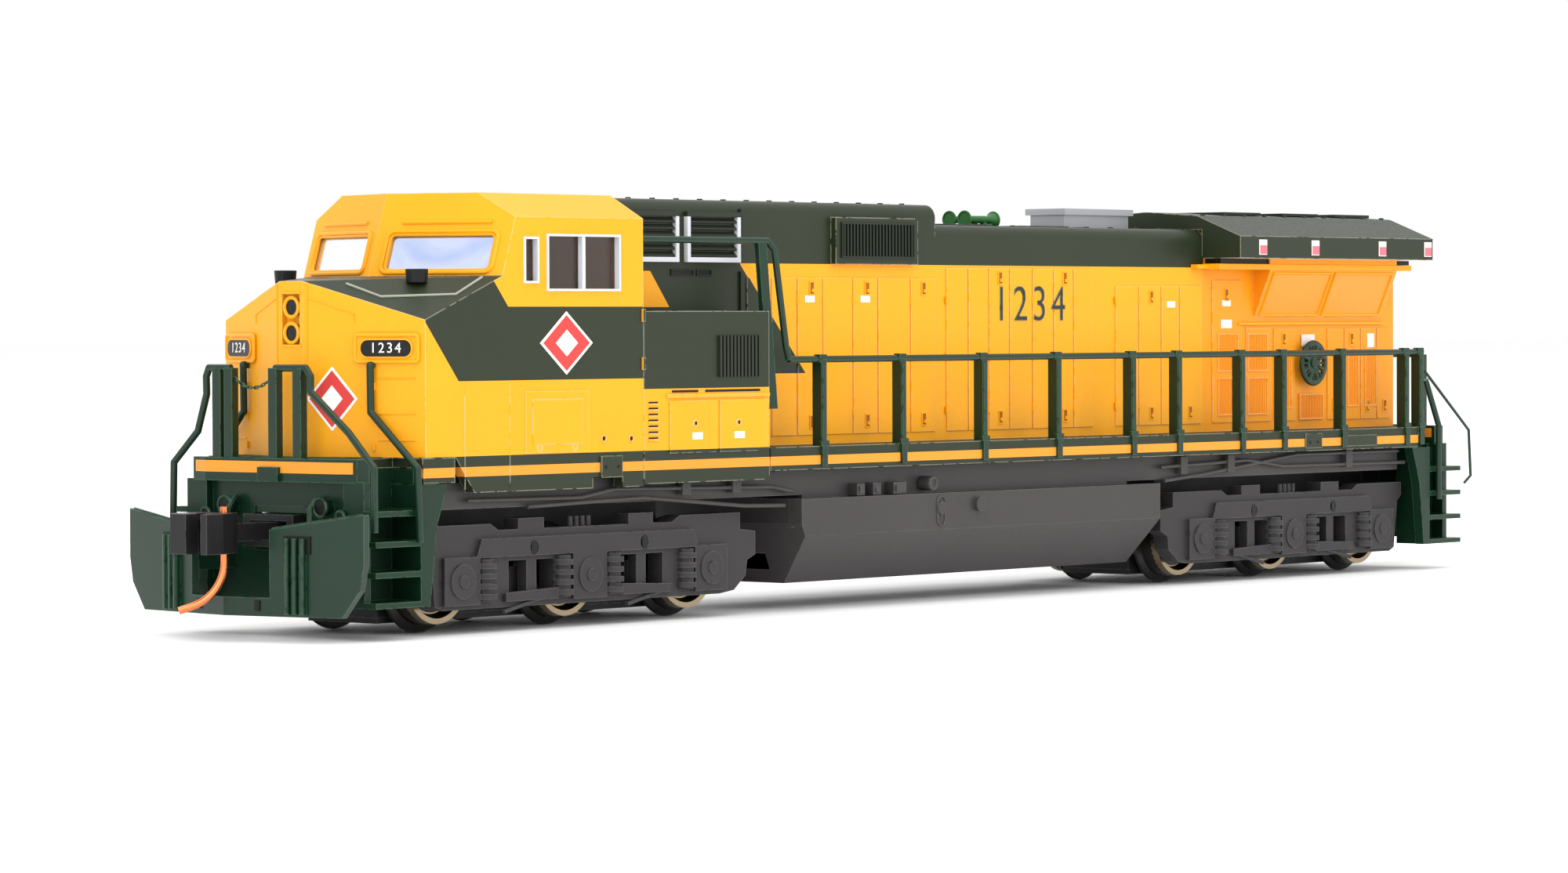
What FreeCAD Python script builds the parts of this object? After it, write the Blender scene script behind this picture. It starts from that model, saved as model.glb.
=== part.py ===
import FreeCAD, Part
import Sketcher
import math
import os
import re

# Diesel road locomotive, N scale. +X is the rear, -X the nose, -Y the left side, +Z up.
# Z = 0 is the bottom of the wheel flanges, X = 0 is midway between the trucks. Millimetres.

DIMENSIONS = {
    "truck_spread": 43.17,      # truck centre from the middle of the locomotive
    "axle_pitch": 12.94,
    "axle_height": 3.65,
    "tread_radius": 3.1,
    "flange_radius": 3.65,
    "wheel_back": 3.8,          # wheel back face from the centre line
    "wheel_face": 5.95,
    "axle_radius": 0.75,
    "journal_radius": 0.6,
    "run_gap": 0.05,            # radial clearance of running fits
    "gear_module": 0.3,
    "axle_teeth": 14,
    "idler_teeth": 34,
    "worm_teeth": 16,
    "gear_width": 1.2,
    "worm_gear_width": 0.8,
    "gear_pin": 0.5,
    "worm_offset": 0.8,         # worm gear stands off the truck centre, to mesh with one idler only
    "worm_pitch_radius": 1.6,
    "thread_width": 0.22,
    "drive_height": 15.72,      # motor shaft and worms
    "box_half": 3.3,            # gearbox half width
    "slot_half": 0.75,
    "box_bottom": 1.15,
    "box_low_top": 5.9,
    "box_top": 12.4,
    "box_long": 16.2,
    "box_short": 12.6,
    "cover_thk": 0.4,
    "side_inner": 6.6,          # sideframe plate
    "side_outer": 8.0,
    "side_boss": 8.35,
    "deck_top": 12.2,
    "deck_thk": 0.65,
    "sill_bottom": 10.5,
    "sill_half": 9.73,
    "sill_thk": 0.8,
    "deck_slot": 4.95,
    "deck_end": 65.0,
    "pilot_face": 66.2,
    "pilot_foot": 2.6,
    "step_inner": 6.9,
    "step_low": 2.2,
    "step_rise": 2.05,
    "tread_thk": 0.4,
    "cab_half": 9.65,
    "cab_wall": 0.85,
    "cab_apron": 9.75,
    "cab_rear": -38.96,
    "apron_front": -56.25,
    "nose_front": -64.13,
    "nose_strip": 1.1,
    "nose_corner": -61.0,
    "nose_shoulder": 21.54,
    "nose_top": 24.2,
    "brow_apex": -56.7,         # foot of the windshield on the centre line
    "brow_height": 24.53,
    "screen_sweep": 0.343,
    "screen_rake": 0.325,
    "eave_height": 28.62,
    "ridge_half": 6.57,
    "cab_top": 30.3,
    "hood_half": 5.8,
    "hood_inner": 5.0,
    "hood_wall": 0.8,
    "tall_top": 30.2,
    "tall_rear": -1.13,
    "low_top": 28.7,
    "low_rear": 34.0,
    "radiator_rear": 61.72,
    "roof_radius": 1.0,
    "flare_front": 41.0,        # slanted radiator screens
    "flare_rear": 59.7,
    "flare_half": 7.5,
    "flare_foot": 21.55,
    "flare_head": 25.35,
    "wing_front": 33.74,
    "wing_rear": 61.97,
    "wing_half": 9.65,
    "wing_bottom": 26.35,
    "wing_eave": 28.15,
    "wing_ridge": 30.2,
    "cabinet_rear": -25.33,
    "cabinet_top": 22.1,
    "cabinet_bottom": 9.9,
    "tank_front": -21.34,
    "tank_rear": 23.0,
    "tank_half": 9.4,
    "tank_top": 8.35,
    "tank_crease": 5.6,
    "tank_bottom": 2.0,
    "tank_keel": 6.0,
    "frame_gap": 0.15,          # half of the insulating gap between the chassis halves
    "frame_half": 4.85,
    "frame_top": 21.9,
    "frame_low": 8.6,
    "frame_high": 12.65,        # underside above the trucks
    "frame_end": 60.0,
    "motor_half": 10.0,
    "motor_radius": 4.6,
    "rotor_radius": 3.6,
    "shaft_radius": 0.75,
    "wheel_start": 12.0,        # flywheel span along the shaft
    "wheel_end": 20.0,
    "fly_radius": 4.2,
    "rail_height": 18.56,
    "rail_half": 9.5,
    "rail_radius": 0.25,
    "wire_radius": 0.12,
    "pipe_half": 8.5,
    "pipe_height": 27.2,
    "pipe_foot": -22.9,
    "post_width": 0.6,
    "plow_apex": -70.6,
    "plow_half": 11.3,
    "plow_sweep": 2.0,          # how far the blade tips lie behind the apex
    "plow_bottom": 1.74,
    "plow_top": 8.65,
    "plow_thk": 0.6,
    "notch_half": 3.8,
    "coupler_pivot": 63.5,
    "coupler_face": 74.3,
    "coupler_height": 7.3,
}

doc = FreeCAD.newDocument("locomotive")
sheet = doc.addObject("Spreadsheet::Sheet", "dims")
nodes = []


def fill_sheet():
    for row, (alias, value) in enumerate(DIMENSIONS.items(), start=1):
        sheet.set("A%d" % row, alias)
        sheet.set("B%d" % row, str(value))
        sheet.setAlias("B%d" % row, alias)
    doc.recompute()


def bound(text):
    """Turns the dimension names in an expression into references to the sheet."""
    return re.sub(r"\b([a-z]+_[a-z_]+)\b", r"dims.\1", str(text))


def value(alias):
    return float(getattr(sheet, alias))


def keep(shape, label):
    """Marks a shape as a finished sub-part."""
    shape.Label = label
    nodes.append(shape)
    return shape


# --- building blocks -------------------------------------------------------------------------

def box(name, x_span, y_span, z_span):
    block = doc.addObject("Part::Box", name)
    for span, place, size in zip((x_span, y_span, z_span), "xyz", ("Length", "Width", "Height")):
        block.setExpression("Placement.Base.%s" % place, bound(span[0]))
        block.setExpression(size, bound("(%s) - (%s)" % (span[1], span[0])))
    return block


def rod(name, start, axis, radius, length):
    """A cylinder from start along the X, Y or Z axis."""
    round_bar = doc.addObject("Part::Cylinder", name)
    turn = {"x": ((0, 1, 0), 90), "y": ((1, 0, 0), -90), "z": ((0, 0, 1), 0)}[axis]
    round_bar.Placement = FreeCAD.Placement(
        FreeCAD.Vector(), FreeCAD.Rotation(FreeCAD.Vector(*turn[0]), turn[1]))
    for place, text in zip("xyz", start):
        round_bar.setExpression("Placement.Base.%s" % place, bound(text))
    round_bar.setExpression("Radius", bound(radius))
    round_bar.setExpression("Height", bound(length))
    return round_bar


def draw(body, plane, points):
    """A closed outline of straight lines whose every corner is bound to the sheet."""
    sketch = body.newObject("Sketcher::SketchObject", body.Name + "_outline")
    origin_plane = [item for item in body.Origin.OriginFeatures if item.Role == plane + "_Plane"][0]
    sketch.AttachmentSupport = [(origin_plane, "")]
    sketch.MapMode = "FlatFace"
    rough = rough_points(points)
    for index, corner in enumerate(rough):
        sketch.addGeometry(Part.LineSegment(corner, rough[(index + 1) % len(rough)]), False)
    for index in range(len(points)):
        sketch.addConstraint(Sketcher.Constraint("Coincident", index, 2, (index + 1) % len(points), 1))
    for index, corner in enumerate(points):
        for kind, part, text, start in zip(("DistanceX", "DistanceY"), "xy", corner, rough[index]):
            number = sketch.addConstraint(Sketcher.Constraint(kind, -1, 1, index, 1, start))
            sketch.renameConstraint(number, "%s%d" % (part, index))
            sketch.setExpression("Constraints.%s%d" % (part, index), bound(text))
    return sketch


def rough_points(points):
    """Where the corners start, before the constraints place them."""
    scratch = doc.addObject("App::FeaturePython", "scratch")
    scratch.addProperty("App::PropertyFloat", "number")
    corners = []
    for corner in points:
        pair = []
        for text in corner:
            scratch.setExpression("number", bound(text))
            doc.recompute([scratch])
            pair.append(scratch.number)
        corners.append(FreeCAD.Vector(pair[0], pair[1], 0))
    doc.removeObject(scratch.Name)
    return corners


def prism(name, plane, points, low, high):
    """An outline on the XY, XZ or YZ plane, made thick from low to high along the plane's normal."""
    body = doc.addObject("PartDesign::Body", name)
    sketch = draw(body, plane, points)
    pad = body.newObject("PartDesign::Pad", name + "_pad")
    pad.Profile = sketch
    pad.setExpression("Length", bound("(%s) - (%s)" % (high, low)))
    pad.SideType = "Symmetric"
    place = {"XY": "z", "XZ": "y", "YZ": "x"}[plane]
    body.setExpression("Placement.Base.%s" % place, bound("((%s) + (%s)) / 2" % (low, high)))
    return body


def turned(name, plane, points):
    """An outline revolved about the first axis of its plane."""
    body = doc.addObject("PartDesign::Body", name)
    sketch = draw(body, plane, points)
    revolution = body.newObject("PartDesign::Revolution", name + "_turn")
    revolution.Profile = sketch
    revolution.ReferenceAxis = (sketch, ["H_Axis"])
    revolution.Angle = 360
    return body


def fuse(name, shapes):
    joined = doc.addObject("Part::MultiFuse", name)
    joined.Shapes = shapes
    return joined


def cut(name, base, tools):
    result = doc.addObject("Part::Cut", name)
    result.Base = base
    result.Tool = tools[0] if len(tools) == 1 else fuse(name + "_tools", tools)
    return result


def group(name, shapes):
    """Separate solids that share one node."""
    compound = doc.addObject("Part::Compound", name)
    compound.Links = shapes
    return compound


def mirror(shape, normal=(0, 1, 0)):
    twin = doc.addObject("Part::Mirroring", shape.Name + "_twin")
    twin.Source = shape
    twin.Normal = FreeCAD.Vector(*normal)
    return twin


def both_sides(shapes):
    return shapes + [mirror(shape) for shape in shapes]


def place(shape, x_text, z_text=0, turn=0):
    """Moves a form to its place; the rear truck and coupler are turned half round."""
    shape.Placement = FreeCAD.Placement(
        FreeCAD.Vector(), FreeCAD.Rotation(FreeCAD.Vector(0, 0, 1), turn))
    shape.setExpression("Placement.Base.x", bound(x_text))
    shape.setExpression("Placement.Base.z", bound(z_text))
    return shape


def polyhedron(name, corners, faces):
    """A solid from flat faces, each a list of corner names."""
    sides = []
    for face in faces:
        ring = [corners[corner] for corner in face]
        sides.append(Part.Face(Part.makePolygon(ring + ring[:1])))
    feature = doc.addObject("Part::Feature", name)
    solid = Part.Solid(Part.Shell(sides))
    if solid.Volume < 0:
        solid.reverse()
    feature.Shape = solid
    return feature


# --- cab and nose ----------------------------------------------------------------------------

def screen_x(y, z):
    """The windshield's two planes meet on the centre line and lean back."""
    lean = value("screen_rake") * (z - value("brow_height"))
    return value("brow_apex") + value("screen_sweep") * abs(y) + lean


def cab_hull(name, inset, floor):
    """The nose and cab as flat facets, every wall moved in by inset."""
    half = value("cab_half") - inset
    front = value("nose_front") + inset
    corner = value("nose_corner") + inset
    strip = value("nose_strip")
    rear = value("cab_rear") - inset
    slide = inset * 1.15
    shoulder = value("nose_shoulder") - inset
    nose_top = value("nose_top") - inset
    brow = value("brow_height") - inset
    eave = value("eave_height") - inset * 0.6
    ridge = value("ridge_half") - inset * 0.5
    top = value("cab_top") - inset
    corners = {}
    for side, sign in (("near", -1), ("far", 1)):
        spots = {
            "strip_foot": (front, strip, floor),
            "corner_foot": (corner, half, floor),
            "strip_top": (front, strip, nose_top),
            "shoulder": (corner, half, shoulder),
            "brow": (screen_x(half, brow) + slide, half, brow),
            "eave": (screen_x(half, eave) + slide, half, eave),
            "ridge": (screen_x(ridge, top) + slide, ridge, top),
            "eave_rear": (rear, half, eave),
            "ridge_rear": (rear, ridge, top),
            "foot_rear": (rear, half, floor),
        }
        for spot, (x, y, z) in spots.items():
            corners[side + "_" + spot] = FreeCAD.Vector(x, sign * y, z)
    corners["mid_brow"] = FreeCAD.Vector(screen_x(0, brow) + slide, 0, brow)
    corners["mid_top"] = FreeCAD.Vector(screen_x(0, top) + slide, 0, top)
    half_faces = [
        ("strip_foot", "corner_foot", "shoulder", "strip_top"),
        ("strip_top", "shoulder", "brow"),
        ("strip_top", "brow", "mid_brow"),
        ("mid_brow", "brow", "eave", "ridge", "mid_top"),
        ("corner_foot", "foot_rear", "eave_rear", "eave", "brow", "shoulder"),
        ("eave", "eave_rear", "ridge_rear", "ridge"),
    ]
    faces = []
    for side in ("near", "far"):
        for face in half_faces:
            faces.append([spot if spot.startswith("mid") else side + "_" + spot for spot in face])
    faces.append(["near_strip_foot", "near_strip_top", "far_strip_top", "far_strip_foot"])
    faces.append(["near_strip_top", "mid_brow", "far_strip_top"])
    faces.append(["mid_top", "near_ridge", "near_ridge_rear", "far_ridge_rear", "far_ridge"])
    faces.append(["near_foot_rear", "near_eave_rear", "near_ridge_rear",
                  "far_ridge_rear", "far_eave_rear", "far_foot_rear"])
    faces.append(["near_strip_foot", "near_corner_foot", "near_foot_rear",
                  "far_foot_rear", "far_corner_foot", "far_strip_foot"])
    return polyhedron(name, corners, faces)


SIDE_WINDOWS = {"front_pane": (-51.31, -49.82, 24.03, 27.23), "rear_pane": (-48.98, -41.41, 23.5, 27.45)}
SCREEN_WINDOW = (1.05, 8.55, 24.95, 27.4)


def cab_shell():
    outer = cab_hull("cab_outer", 0, value("cab_apron"))
    inner = cab_hull("cab_inner", value("cab_wall"), value("cab_apron") - 1)
    under_nose = prism("under_nose", "XZ",
                       [("nose_front - 1", "cab_apron - 1"), ("apron_front + 0.75", "cab_apron - 1"),
                        ("apron_front - 1.85", "deck_top"), ("nose_front - 1", "deck_top")],
                       "-cab_half - 1", "cab_half + 1")
    rear_foot = box("rear_foot", ("cab_rear - cab_wall - 0.2", "cab_rear + 0.2"),
                    ("-cab_half + cab_wall", "cab_half - cab_wall"), ("cab_apron - 1", "deck_top"))
    rear_door = box("rear_door", ("cab_rear - cab_wall - 0.2", "cab_rear + 0.2"),
                    ("-hood_inner", "hood_inner"), ("cab_apron", "frame_top + 1.6"))
    lamp_recess = box("lamp_recess", ("nose_front - 0.2", "nose_front + 0.5"), ("-0.85", "0.85"),
                      ("19.85", "23.35"))
    bracket_notches = both_sides([box("bracket_notch", ("-44.3", "-41.2"),
                                      ("-cab_half - 1", "-cab_half + 1"),
                                      ("cab_apron - 1", "10.5"))])
    openings = []
    for name, (x_low, x_high, z_low, z_high) in SIDE_WINDOWS.items():
        openings += both_sides([box("side_" + name, (x_low, x_high), ("-cab_half - 1", "-cab_half + 1.4"),
                                    (z_low, z_high))])
    y_low, y_high, z_low, z_high = SCREEN_WINDOW
    openings += both_sides([box("screen_opening", ("brow_apex - 2", "-51.4"), (-y_high, -y_low),
                                (z_low, z_high))])
    shell = cut("cab_walls", outer, [inner])
    return keep(cut("cab_shell", shell, [under_nose, rear_foot, rear_door, lamp_recess]
                    + bracket_notches + openings), "cab_shell")


def window_glass():
    """Flat panes just inside the walls."""
    panes = []
    for name, (x_low, x_high, z_low, z_high) in SIDE_WINDOWS.items():
        panes += both_sides([box("pane_" + name, (x_low, x_high), ("-cab_half + 0.35", "-cab_half + 0.6"),
                                 (z_low, z_high))])
    y_low, y_high, z_low, z_high = SCREEN_WINDOW
    corners = {}
    for depth, shift in (("out", 0.35), ("in", 0.6)):
        for y_name, y in (("low", y_low), ("high", y_high)):
            for z_name, z in (("low", z_low), ("high", z_high)):
                corners["_".join((depth, y_name, z_name))] = FreeCAD.Vector(screen_x(y, z) + shift, -y, z)
    pane = polyhedron("screen_pane", corners, [
        ["out_low_low", "out_high_low", "out_high_high", "out_low_high"],
        ["in_low_low", "in_high_low", "in_high_high", "in_low_high"],
        ["out_low_low", "out_high_low", "in_high_low", "in_low_low"],
        ["out_low_high", "out_high_high", "in_high_high", "in_low_high"],
        ["out_low_low", "out_low_high", "in_low_high", "in_low_low"],
        ["out_high_low", "out_high_high", "in_high_high", "in_high_low"]])
    return keep(group("window_glass", panes + both_sides([pane])), "window_glass")


def window_frames():
    """Bright frames round the side windows, with the sliding sash's upright."""
    frames = []
    rim = 0.16
    for name, (x_low, x_high, z_low, z_high) in SIDE_WINDOWS.items():
        ring = cut("frame_" + name,
                   box("rim_" + name, (x_low, x_high), ("-cab_half - 0.12", "-cab_half + 0.35"),
                       (z_low, z_high)),
                   [box("sight_" + name, (x_low + rim, x_high - rim),
                        ("-cab_half - 0.5", "-cab_half + 0.5"),
                        (z_low + rim, z_high - rim))])
        frames.append(ring)
    x_low, x_high, z_low, z_high = SIDE_WINDOWS["rear_pane"]
    upright = box("sash_upright", ((x_low + x_high) / 2 - rim, (x_low + x_high) / 2 + rim),
                  ("-cab_half - 0.05", "-cab_half + 0.35"), (z_low + rim, z_high - rim))
    return keep(group("window_frames", both_sides(frames + [upright])), "window_frames")


def headlights():
    """Twin lamps in the nose strip and a pair on the rear end."""
    radius, rear_rise = 0.62, 3
    lamps = []
    for index, height in enumerate((20.66, 22.42)):
        lamps.append(rod("nose_lamp_%d" % index, ("nose_front + 0.1", 0, height), "x", radius, 0.4))
        lamps.append(rod("rear_lamp_%d" % index, ("radiator_rear", 0, height + rear_rise), "x",
                         radius, 0.25))
    return keep(group("headlight_lenses", lamps), "headlight_lenses")


def number_boards():
    """Plates that lie on the nose facets."""
    run = (value("nose_corner") - value("nose_front")) / (value("cab_half") - value("nose_strip"))
    start, end, lift = 5.3, 8.8, 0.25

    def facet_x(y):
        return value("nose_front") + run * (y - value("nose_strip"))

    outline = [(facet_x(start), -start), (facet_x(end), -end),
               (facet_x(end) - lift, -end - lift * run), (facet_x(start) - lift, -start - lift * run)]
    return keep(group("number_boards", both_sides([prism("board_plate", "XY", outline, 18.95, 20.3)])),
                "number_boards")


# --- hood ------------------------------------------------------------------------------------

def rounded_block(name, x_low, x_high, top):
    """A hood length whose two top edges are rounded."""
    outline = [("-hood_half", "deck_top"), ("hood_half", "deck_top"), ("hood_half", top),
               ("-hood_half", top)]
    body = prism(name, "YZ", outline, x_low, x_high)
    doc.recompute()
    pad = body.Tip
    top_edges = []
    highest = pad.Shape.BoundBox.ZMax
    for number, edge in enumerate(pad.Shape.Edges, start=1):
        along_x = abs(edge.tangentAt(edge.FirstParameter).x) > 0.99
        if along_x and edge.BoundBox.ZMin > highest - 0.01:
            top_edges.append("Edge%d" % number)
    rounding = body.newObject("PartDesign::Fillet", name + "_rounding")
    rounding.Base = (pad, top_edges)
    rounding.setExpression("Radius", "dims.roof_radius")
    body.Tip = rounding
    return body


def hood_shell():
    tall = rounded_block("tall_hood", "cab_rear", "tall_rear", "tall_top")
    low = rounded_block("low_hood", "tall_rear", "low_rear", "low_top")
    radiator = box("radiator_hood", ("low_rear", "radiator_rear"), ("-hood_half", "hood_half"),
                   ("deck_top", "wing_bottom"))
    flare = prism("radiator_flare", "YZ",
                  [("-hood_half + 0.1", "flare_foot"), ("-hood_half - 0.1", "flare_foot"),
                   ("-flare_half", "flare_head"), ("-flare_half", "wing_bottom"),
                   ("-hood_half + 0.1", "wing_bottom")], "flare_front", "flare_rear")
    cabinet = box("cabinet_upper", ("cab_rear", "cabinet_rear"), ("-cab_half - 0.05", "-hood_half + 0.1"),
                  ("deck_top", "cabinet_top"))
    cabinet_apron = box("cabinet_apron", ("cab_rear", "cabinet_rear"),
                        ("-cab_half - 0.05", "-cab_half + 0.9"),
                        ("cabinet_bottom", "deck_top"))
    brake_vent = box("brake_vent", (-13.6, -3.83), ("-hood_half - 0.5", "-hood_half + 0.1"), (25.6, 29.1))
    blisters = both_sides([flare, cabinet, cabinet_apron, brake_vent])
    outer = fuse("hood_outer", [tall, low, radiator] + blisters)
    cavities = [
        box("tall_cavity", ("cab_rear - 0.5", "tall_rear - hood_wall"), ("-hood_inner", "hood_inner"),
            ("deck_top - 0.5", "tall_top - hood_wall")),
        box("low_cavity", ("tall_rear - hood_wall - 0.1", "low_rear + 0.1"), ("-hood_inner", "hood_inner"),
            ("deck_top - 0.5", "low_top - hood_wall")),
        box("radiator_cavity", ("low_rear", "radiator_rear - hood_wall"), ("-hood_inner", "hood_inner"),
            ("deck_top - 0.5", "wing_bottom + 1")),
    ]
    return keep(cut("hood_shell", outer, cavities), "hood_shell")


def radiator_roof():
    section = [("-wing_half", "wing_bottom"), ("wing_half", "wing_bottom"), ("wing_half", "wing_eave"),
               ("wing_half * 0.55", "wing_ridge - 0.35"), (0, "wing_ridge"),
               ("-wing_half * 0.55", "wing_ridge - 0.35"), ("-wing_half", "wing_eave")]
    wing = prism("wing_form", "YZ", section, "wing_front", "wing_rear")
    low_end = box("low_hood_end", ("wing_front - 0.1", "low_rear"), ("-hood_half", "hood_half"),
                  ("wing_bottom - 1", "low_top"))
    hollow = box("wing_hollow", ("low_rear", "radiator_rear - hood_wall"), ("-hood_inner", "hood_inner"),
                 ("wing_bottom - 1", "low_top - hood_wall"))
    return keep(cut("radiator_roof", wing, [low_end, hollow]), "radiator_roof")


def intake_grilles():
    """Two framed louvre bays on each side of the tall hood, and the cabinets' slatted grilles."""
    pieces = []
    for bay, (x_low, x_high) in enumerate(((-37.0, -31.1), (-30.2, -24.3))):
        z_low, z_high, rim = 25.65, 29.3, 0.35
        frame = cut("bay_frame_%d" % bay,
                    box("bay_outer_%d" % bay, (x_low, x_high), ("-hood_half - 0.35", "-hood_half"),
                        (z_low, z_high)),
                    [box("bay_inner_%d" % bay, (x_low + rim, x_high - rim),
                         ("-hood_half - 0.5", "-hood_half + 0.1"),
                         (z_low + rim, z_high - rim))])
        pieces.append(frame)
        louvres = 6
        gap = (z_high - z_low - 2 * rim) / louvres
        for step in range(louvres):
            foot = z_low + rim + gap * step
            blade = prism("louvre_%d_%d" % (bay, step), "YZ",
                          [("-hood_half", foot), ("-hood_half - 0.28", foot + 0.05),
                           ("-hood_half - 0.28", foot + 0.15), ("-hood_half", foot + gap * 0.8)],
                          x_low + rim, x_high - rim)
            pieces.append(blade)
    slats = 12
    x_low, x_high, z_low, z_high = -30.97, -26.31, 17.38, 20.35
    pitch = (x_high - x_low) / slats
    for step in range(slats):
        left = x_low + pitch * step
        pieces.append(box("slat_%d" % step, (left, left + pitch * 0.55),
                          ("-cab_half - 0.25", "-cab_half - 0.05"), (z_low, z_high)))
    return keep(group("intake_grilles", both_sides(pieces)), "intake_grilles")


def horns():
    """Three trumpets on a bar, two forward and one back."""
    bar_x, horn_z = 11, 29.35
    throat, bell = 0.2, 0.55
    parts = [box("horn_bar", (bar_x - 0.4, bar_x + 0.4), (-1.9, 1.9), ("low_top", 29.0)),
             box("horn_post", (bar_x - 0.3, bar_x + 0.3), (-0.3, 0.3), (28.9, 29.4))]
    for name, side, mouth_x in (("left", -1.5, 8.5), ("middle", 0, 15.4), ("right", 1.5, 8.5)):
        trumpet = doc.addObject("Part::Cone", "horn_" + name)
        trumpet.Radius1 = throat
        trumpet.Radius2 = bell
        trumpet.Height = abs(mouth_x - bar_x)
        turn = math.copysign(90, mouth_x - bar_x)
        trumpet.Placement = FreeCAD.Placement(FreeCAD.Vector(bar_x, side, horn_z),
                                              FreeCAD.Rotation(FreeCAD.Vector(0, 1, 0), turn))
        parts.append(trumpet)
        parts.append(box("horn_foot_" + name, (bar_x - 0.2, bar_x + 0.2), (side - 0.2, side + 0.2),
                         (28.9, horn_z - 0.05)))
    return keep(fuse("horns", parts), "horns")


def exhaust_stack():
    trunk = box("stack_trunk", (20.6, 29.2), (-1.7, 1.7), ("low_top", 29.9))
    flange = box("stack_flange", (20.3, 29.5), (-2.0, 2.0), (29.8, 30.3))
    mouth = box("stack_mouth", (21.1, 28.7), (-1.3, 1.3), (28.9, 31))
    return keep(cut("exhaust_stack", fuse("stack_body", [trunk, flange]), [mouth]), "exhaust_stack")


def brake_wheel():
    """Eight-spoked hand wheel on the left side."""
    x_mid, z_mid, radius = 48.6, 17.7, 1.75
    plane_y = -value("hood_half") - 0.75
    rim = doc.addObject("Part::Torus", "brake_rim")
    rim.Radius1 = radius
    rim.Radius2 = 0.16
    rim.Placement = FreeCAD.Placement(FreeCAD.Vector(x_mid, plane_y, z_mid),
                                      FreeCAD.Rotation(FreeCAD.Vector(1, 0, 0), 90))
    hub_length = 0.15 - plane_y - value("hood_half")
    parts = [rim, rod("brake_hub", (x_mid, plane_y - 0.15, z_mid), "y", 0.35, hub_length)]
    spokes = 8
    for number in range(spokes):
        spoke = doc.addObject("Part::Cylinder", "spoke_%d" % number)
        spoke.Radius = 0.1
        spoke.Height = radius
        spoke.Placement = FreeCAD.Placement(FreeCAD.Vector(x_mid, plane_y, z_mid),
                                            FreeCAD.Rotation(FreeCAD.Vector(0, 1, 0),
                                                             360 / spokes * number))
        parts.append(spoke)
    return keep(fuse("brake_wheel", parts), "brake_wheel")


# --- deck, pilots and rails ------------------------------------------------------------------

def walkway():
    deck = box("deck_plate", ("-deck_end", "deck_end"), ("-sill_half", "sill_half"),
               ("deck_top - deck_thk", "deck_top"))
    sill = box("sill_strip", ("cabinet_rear + 0.1", 59.6), ("-sill_half", "-sill_half + sill_thk"),
               ("sill_bottom", "deck_top - 0.1"))
    nose_sill = box("nose_sill", (-61.3, -56.5), ("-sill_half", "-sill_half + sill_thk"),
                    ("sill_bottom", "deck_top - 0.1"))
    slot = box("deck_opening", ("-frame_end - 0.2", "frame_end + 0.2"), ("-deck_slot", "deck_slot"),
               ("sill_bottom", "deck_top + 1"))
    apron_room = box("apron_room", ("apron_front - 2.0", "cabinet_rear + 0.1"),
                     ("-sill_half - 1", "-cab_half + cab_wall + 0.15"),
                     ("sill_bottom - 1", "deck_top + 1"))
    wells = [box("front_well", ("-deck_end - 1", -61.4), ("-sill_half - 1", "-step_inner"),
                 ("sill_bottom - 1", "deck_top + 1")),
             box("rear_well", (59.7, "deck_end + 1"), ("-sill_half - 1", "-step_inner"),
                 ("sill_bottom - 1", "deck_top + 1"))]
    solid = fuse("walkway_solid", [deck] + both_sides([sill, nose_sill]))
    return keep(cut("walkway", solid, [slot] + both_sides([apron_room] + wells)), "walkway")


def steps(name, x_near, x_far, treads):
    """Step well on the left: treads, the wall behind them and the plate at the inner end."""
    pieces = [box(name + "_wall", (x_near, x_far), ("-step_inner", "-step_inner + 0.3"),
                  ("step_low", "deck_top - deck_thk"))]
    for number in range(treads):
        pieces.append(box("%s_tread_%d" % (name, number), (x_near, x_far),
                          ("-sill_half + 0.1", "-step_inner"),
                          ("step_low + step_rise * %d" % number,
                           "step_low + step_rise * %d + tread_thk" % number)))
    return pieces


def pilot_parts(name):
    """What both end platforms share, drawn at the nose: plate, hoses, corners and flanks."""
    plate = box(name + "_plate", (-65.2, -64.5), (-7.4, 7.4), ("pilot_foot", "sill_bottom + 0.2"))
    hoses = [rod("%s_hose_%d" % (name, number), (-66.0, side, 8.9), "x", 0.55, 1.2)
             for number, side in enumerate((-4.6, 4.6))]
    corner = box(name + "_corner", (-65.8, -65.2), ("-sill_half + 1.2", "-step_inner"),
                 ("step_low", "sill_bottom + 0.2"))
    web = box(name + "_web", (-61.5, -61.0), ("-sill_half + 0.1", "-step_inner + 0.3"),
              ("step_low", "sill_bottom - 0.05"))
    flank = prism(name + "_flank", "XZ",
                  [(-61.5, "step_low"), (-60.6, "step_low"), (-59.95, 7.5),
                   (-58.9, "sill_bottom - 0.05"), (-61.5, "sill_bottom - 0.05")],
                  "-sill_half + 0.1", -8.8)
    return [plate] + hoses + both_sides([corner, web, flank])


def pilot_rooms(name):
    """Room for the deck plate and the coupler, drawn at the nose."""
    deck_room = box(name + "_deck_room", ("-deck_end", -60), ("-step_inner", "step_inner"),
                    ("deck_top - deck_thk", "deck_top + 1"))
    mouth = box(name + "_mouth", (-66, -64), (-2.5, 2.5), (5.9, 8.9))
    return [deck_room, mouth]


def turned_to_rear(shapes):
    return [mirror(shape, (1, 0, 0)) for shape in shapes]


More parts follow.
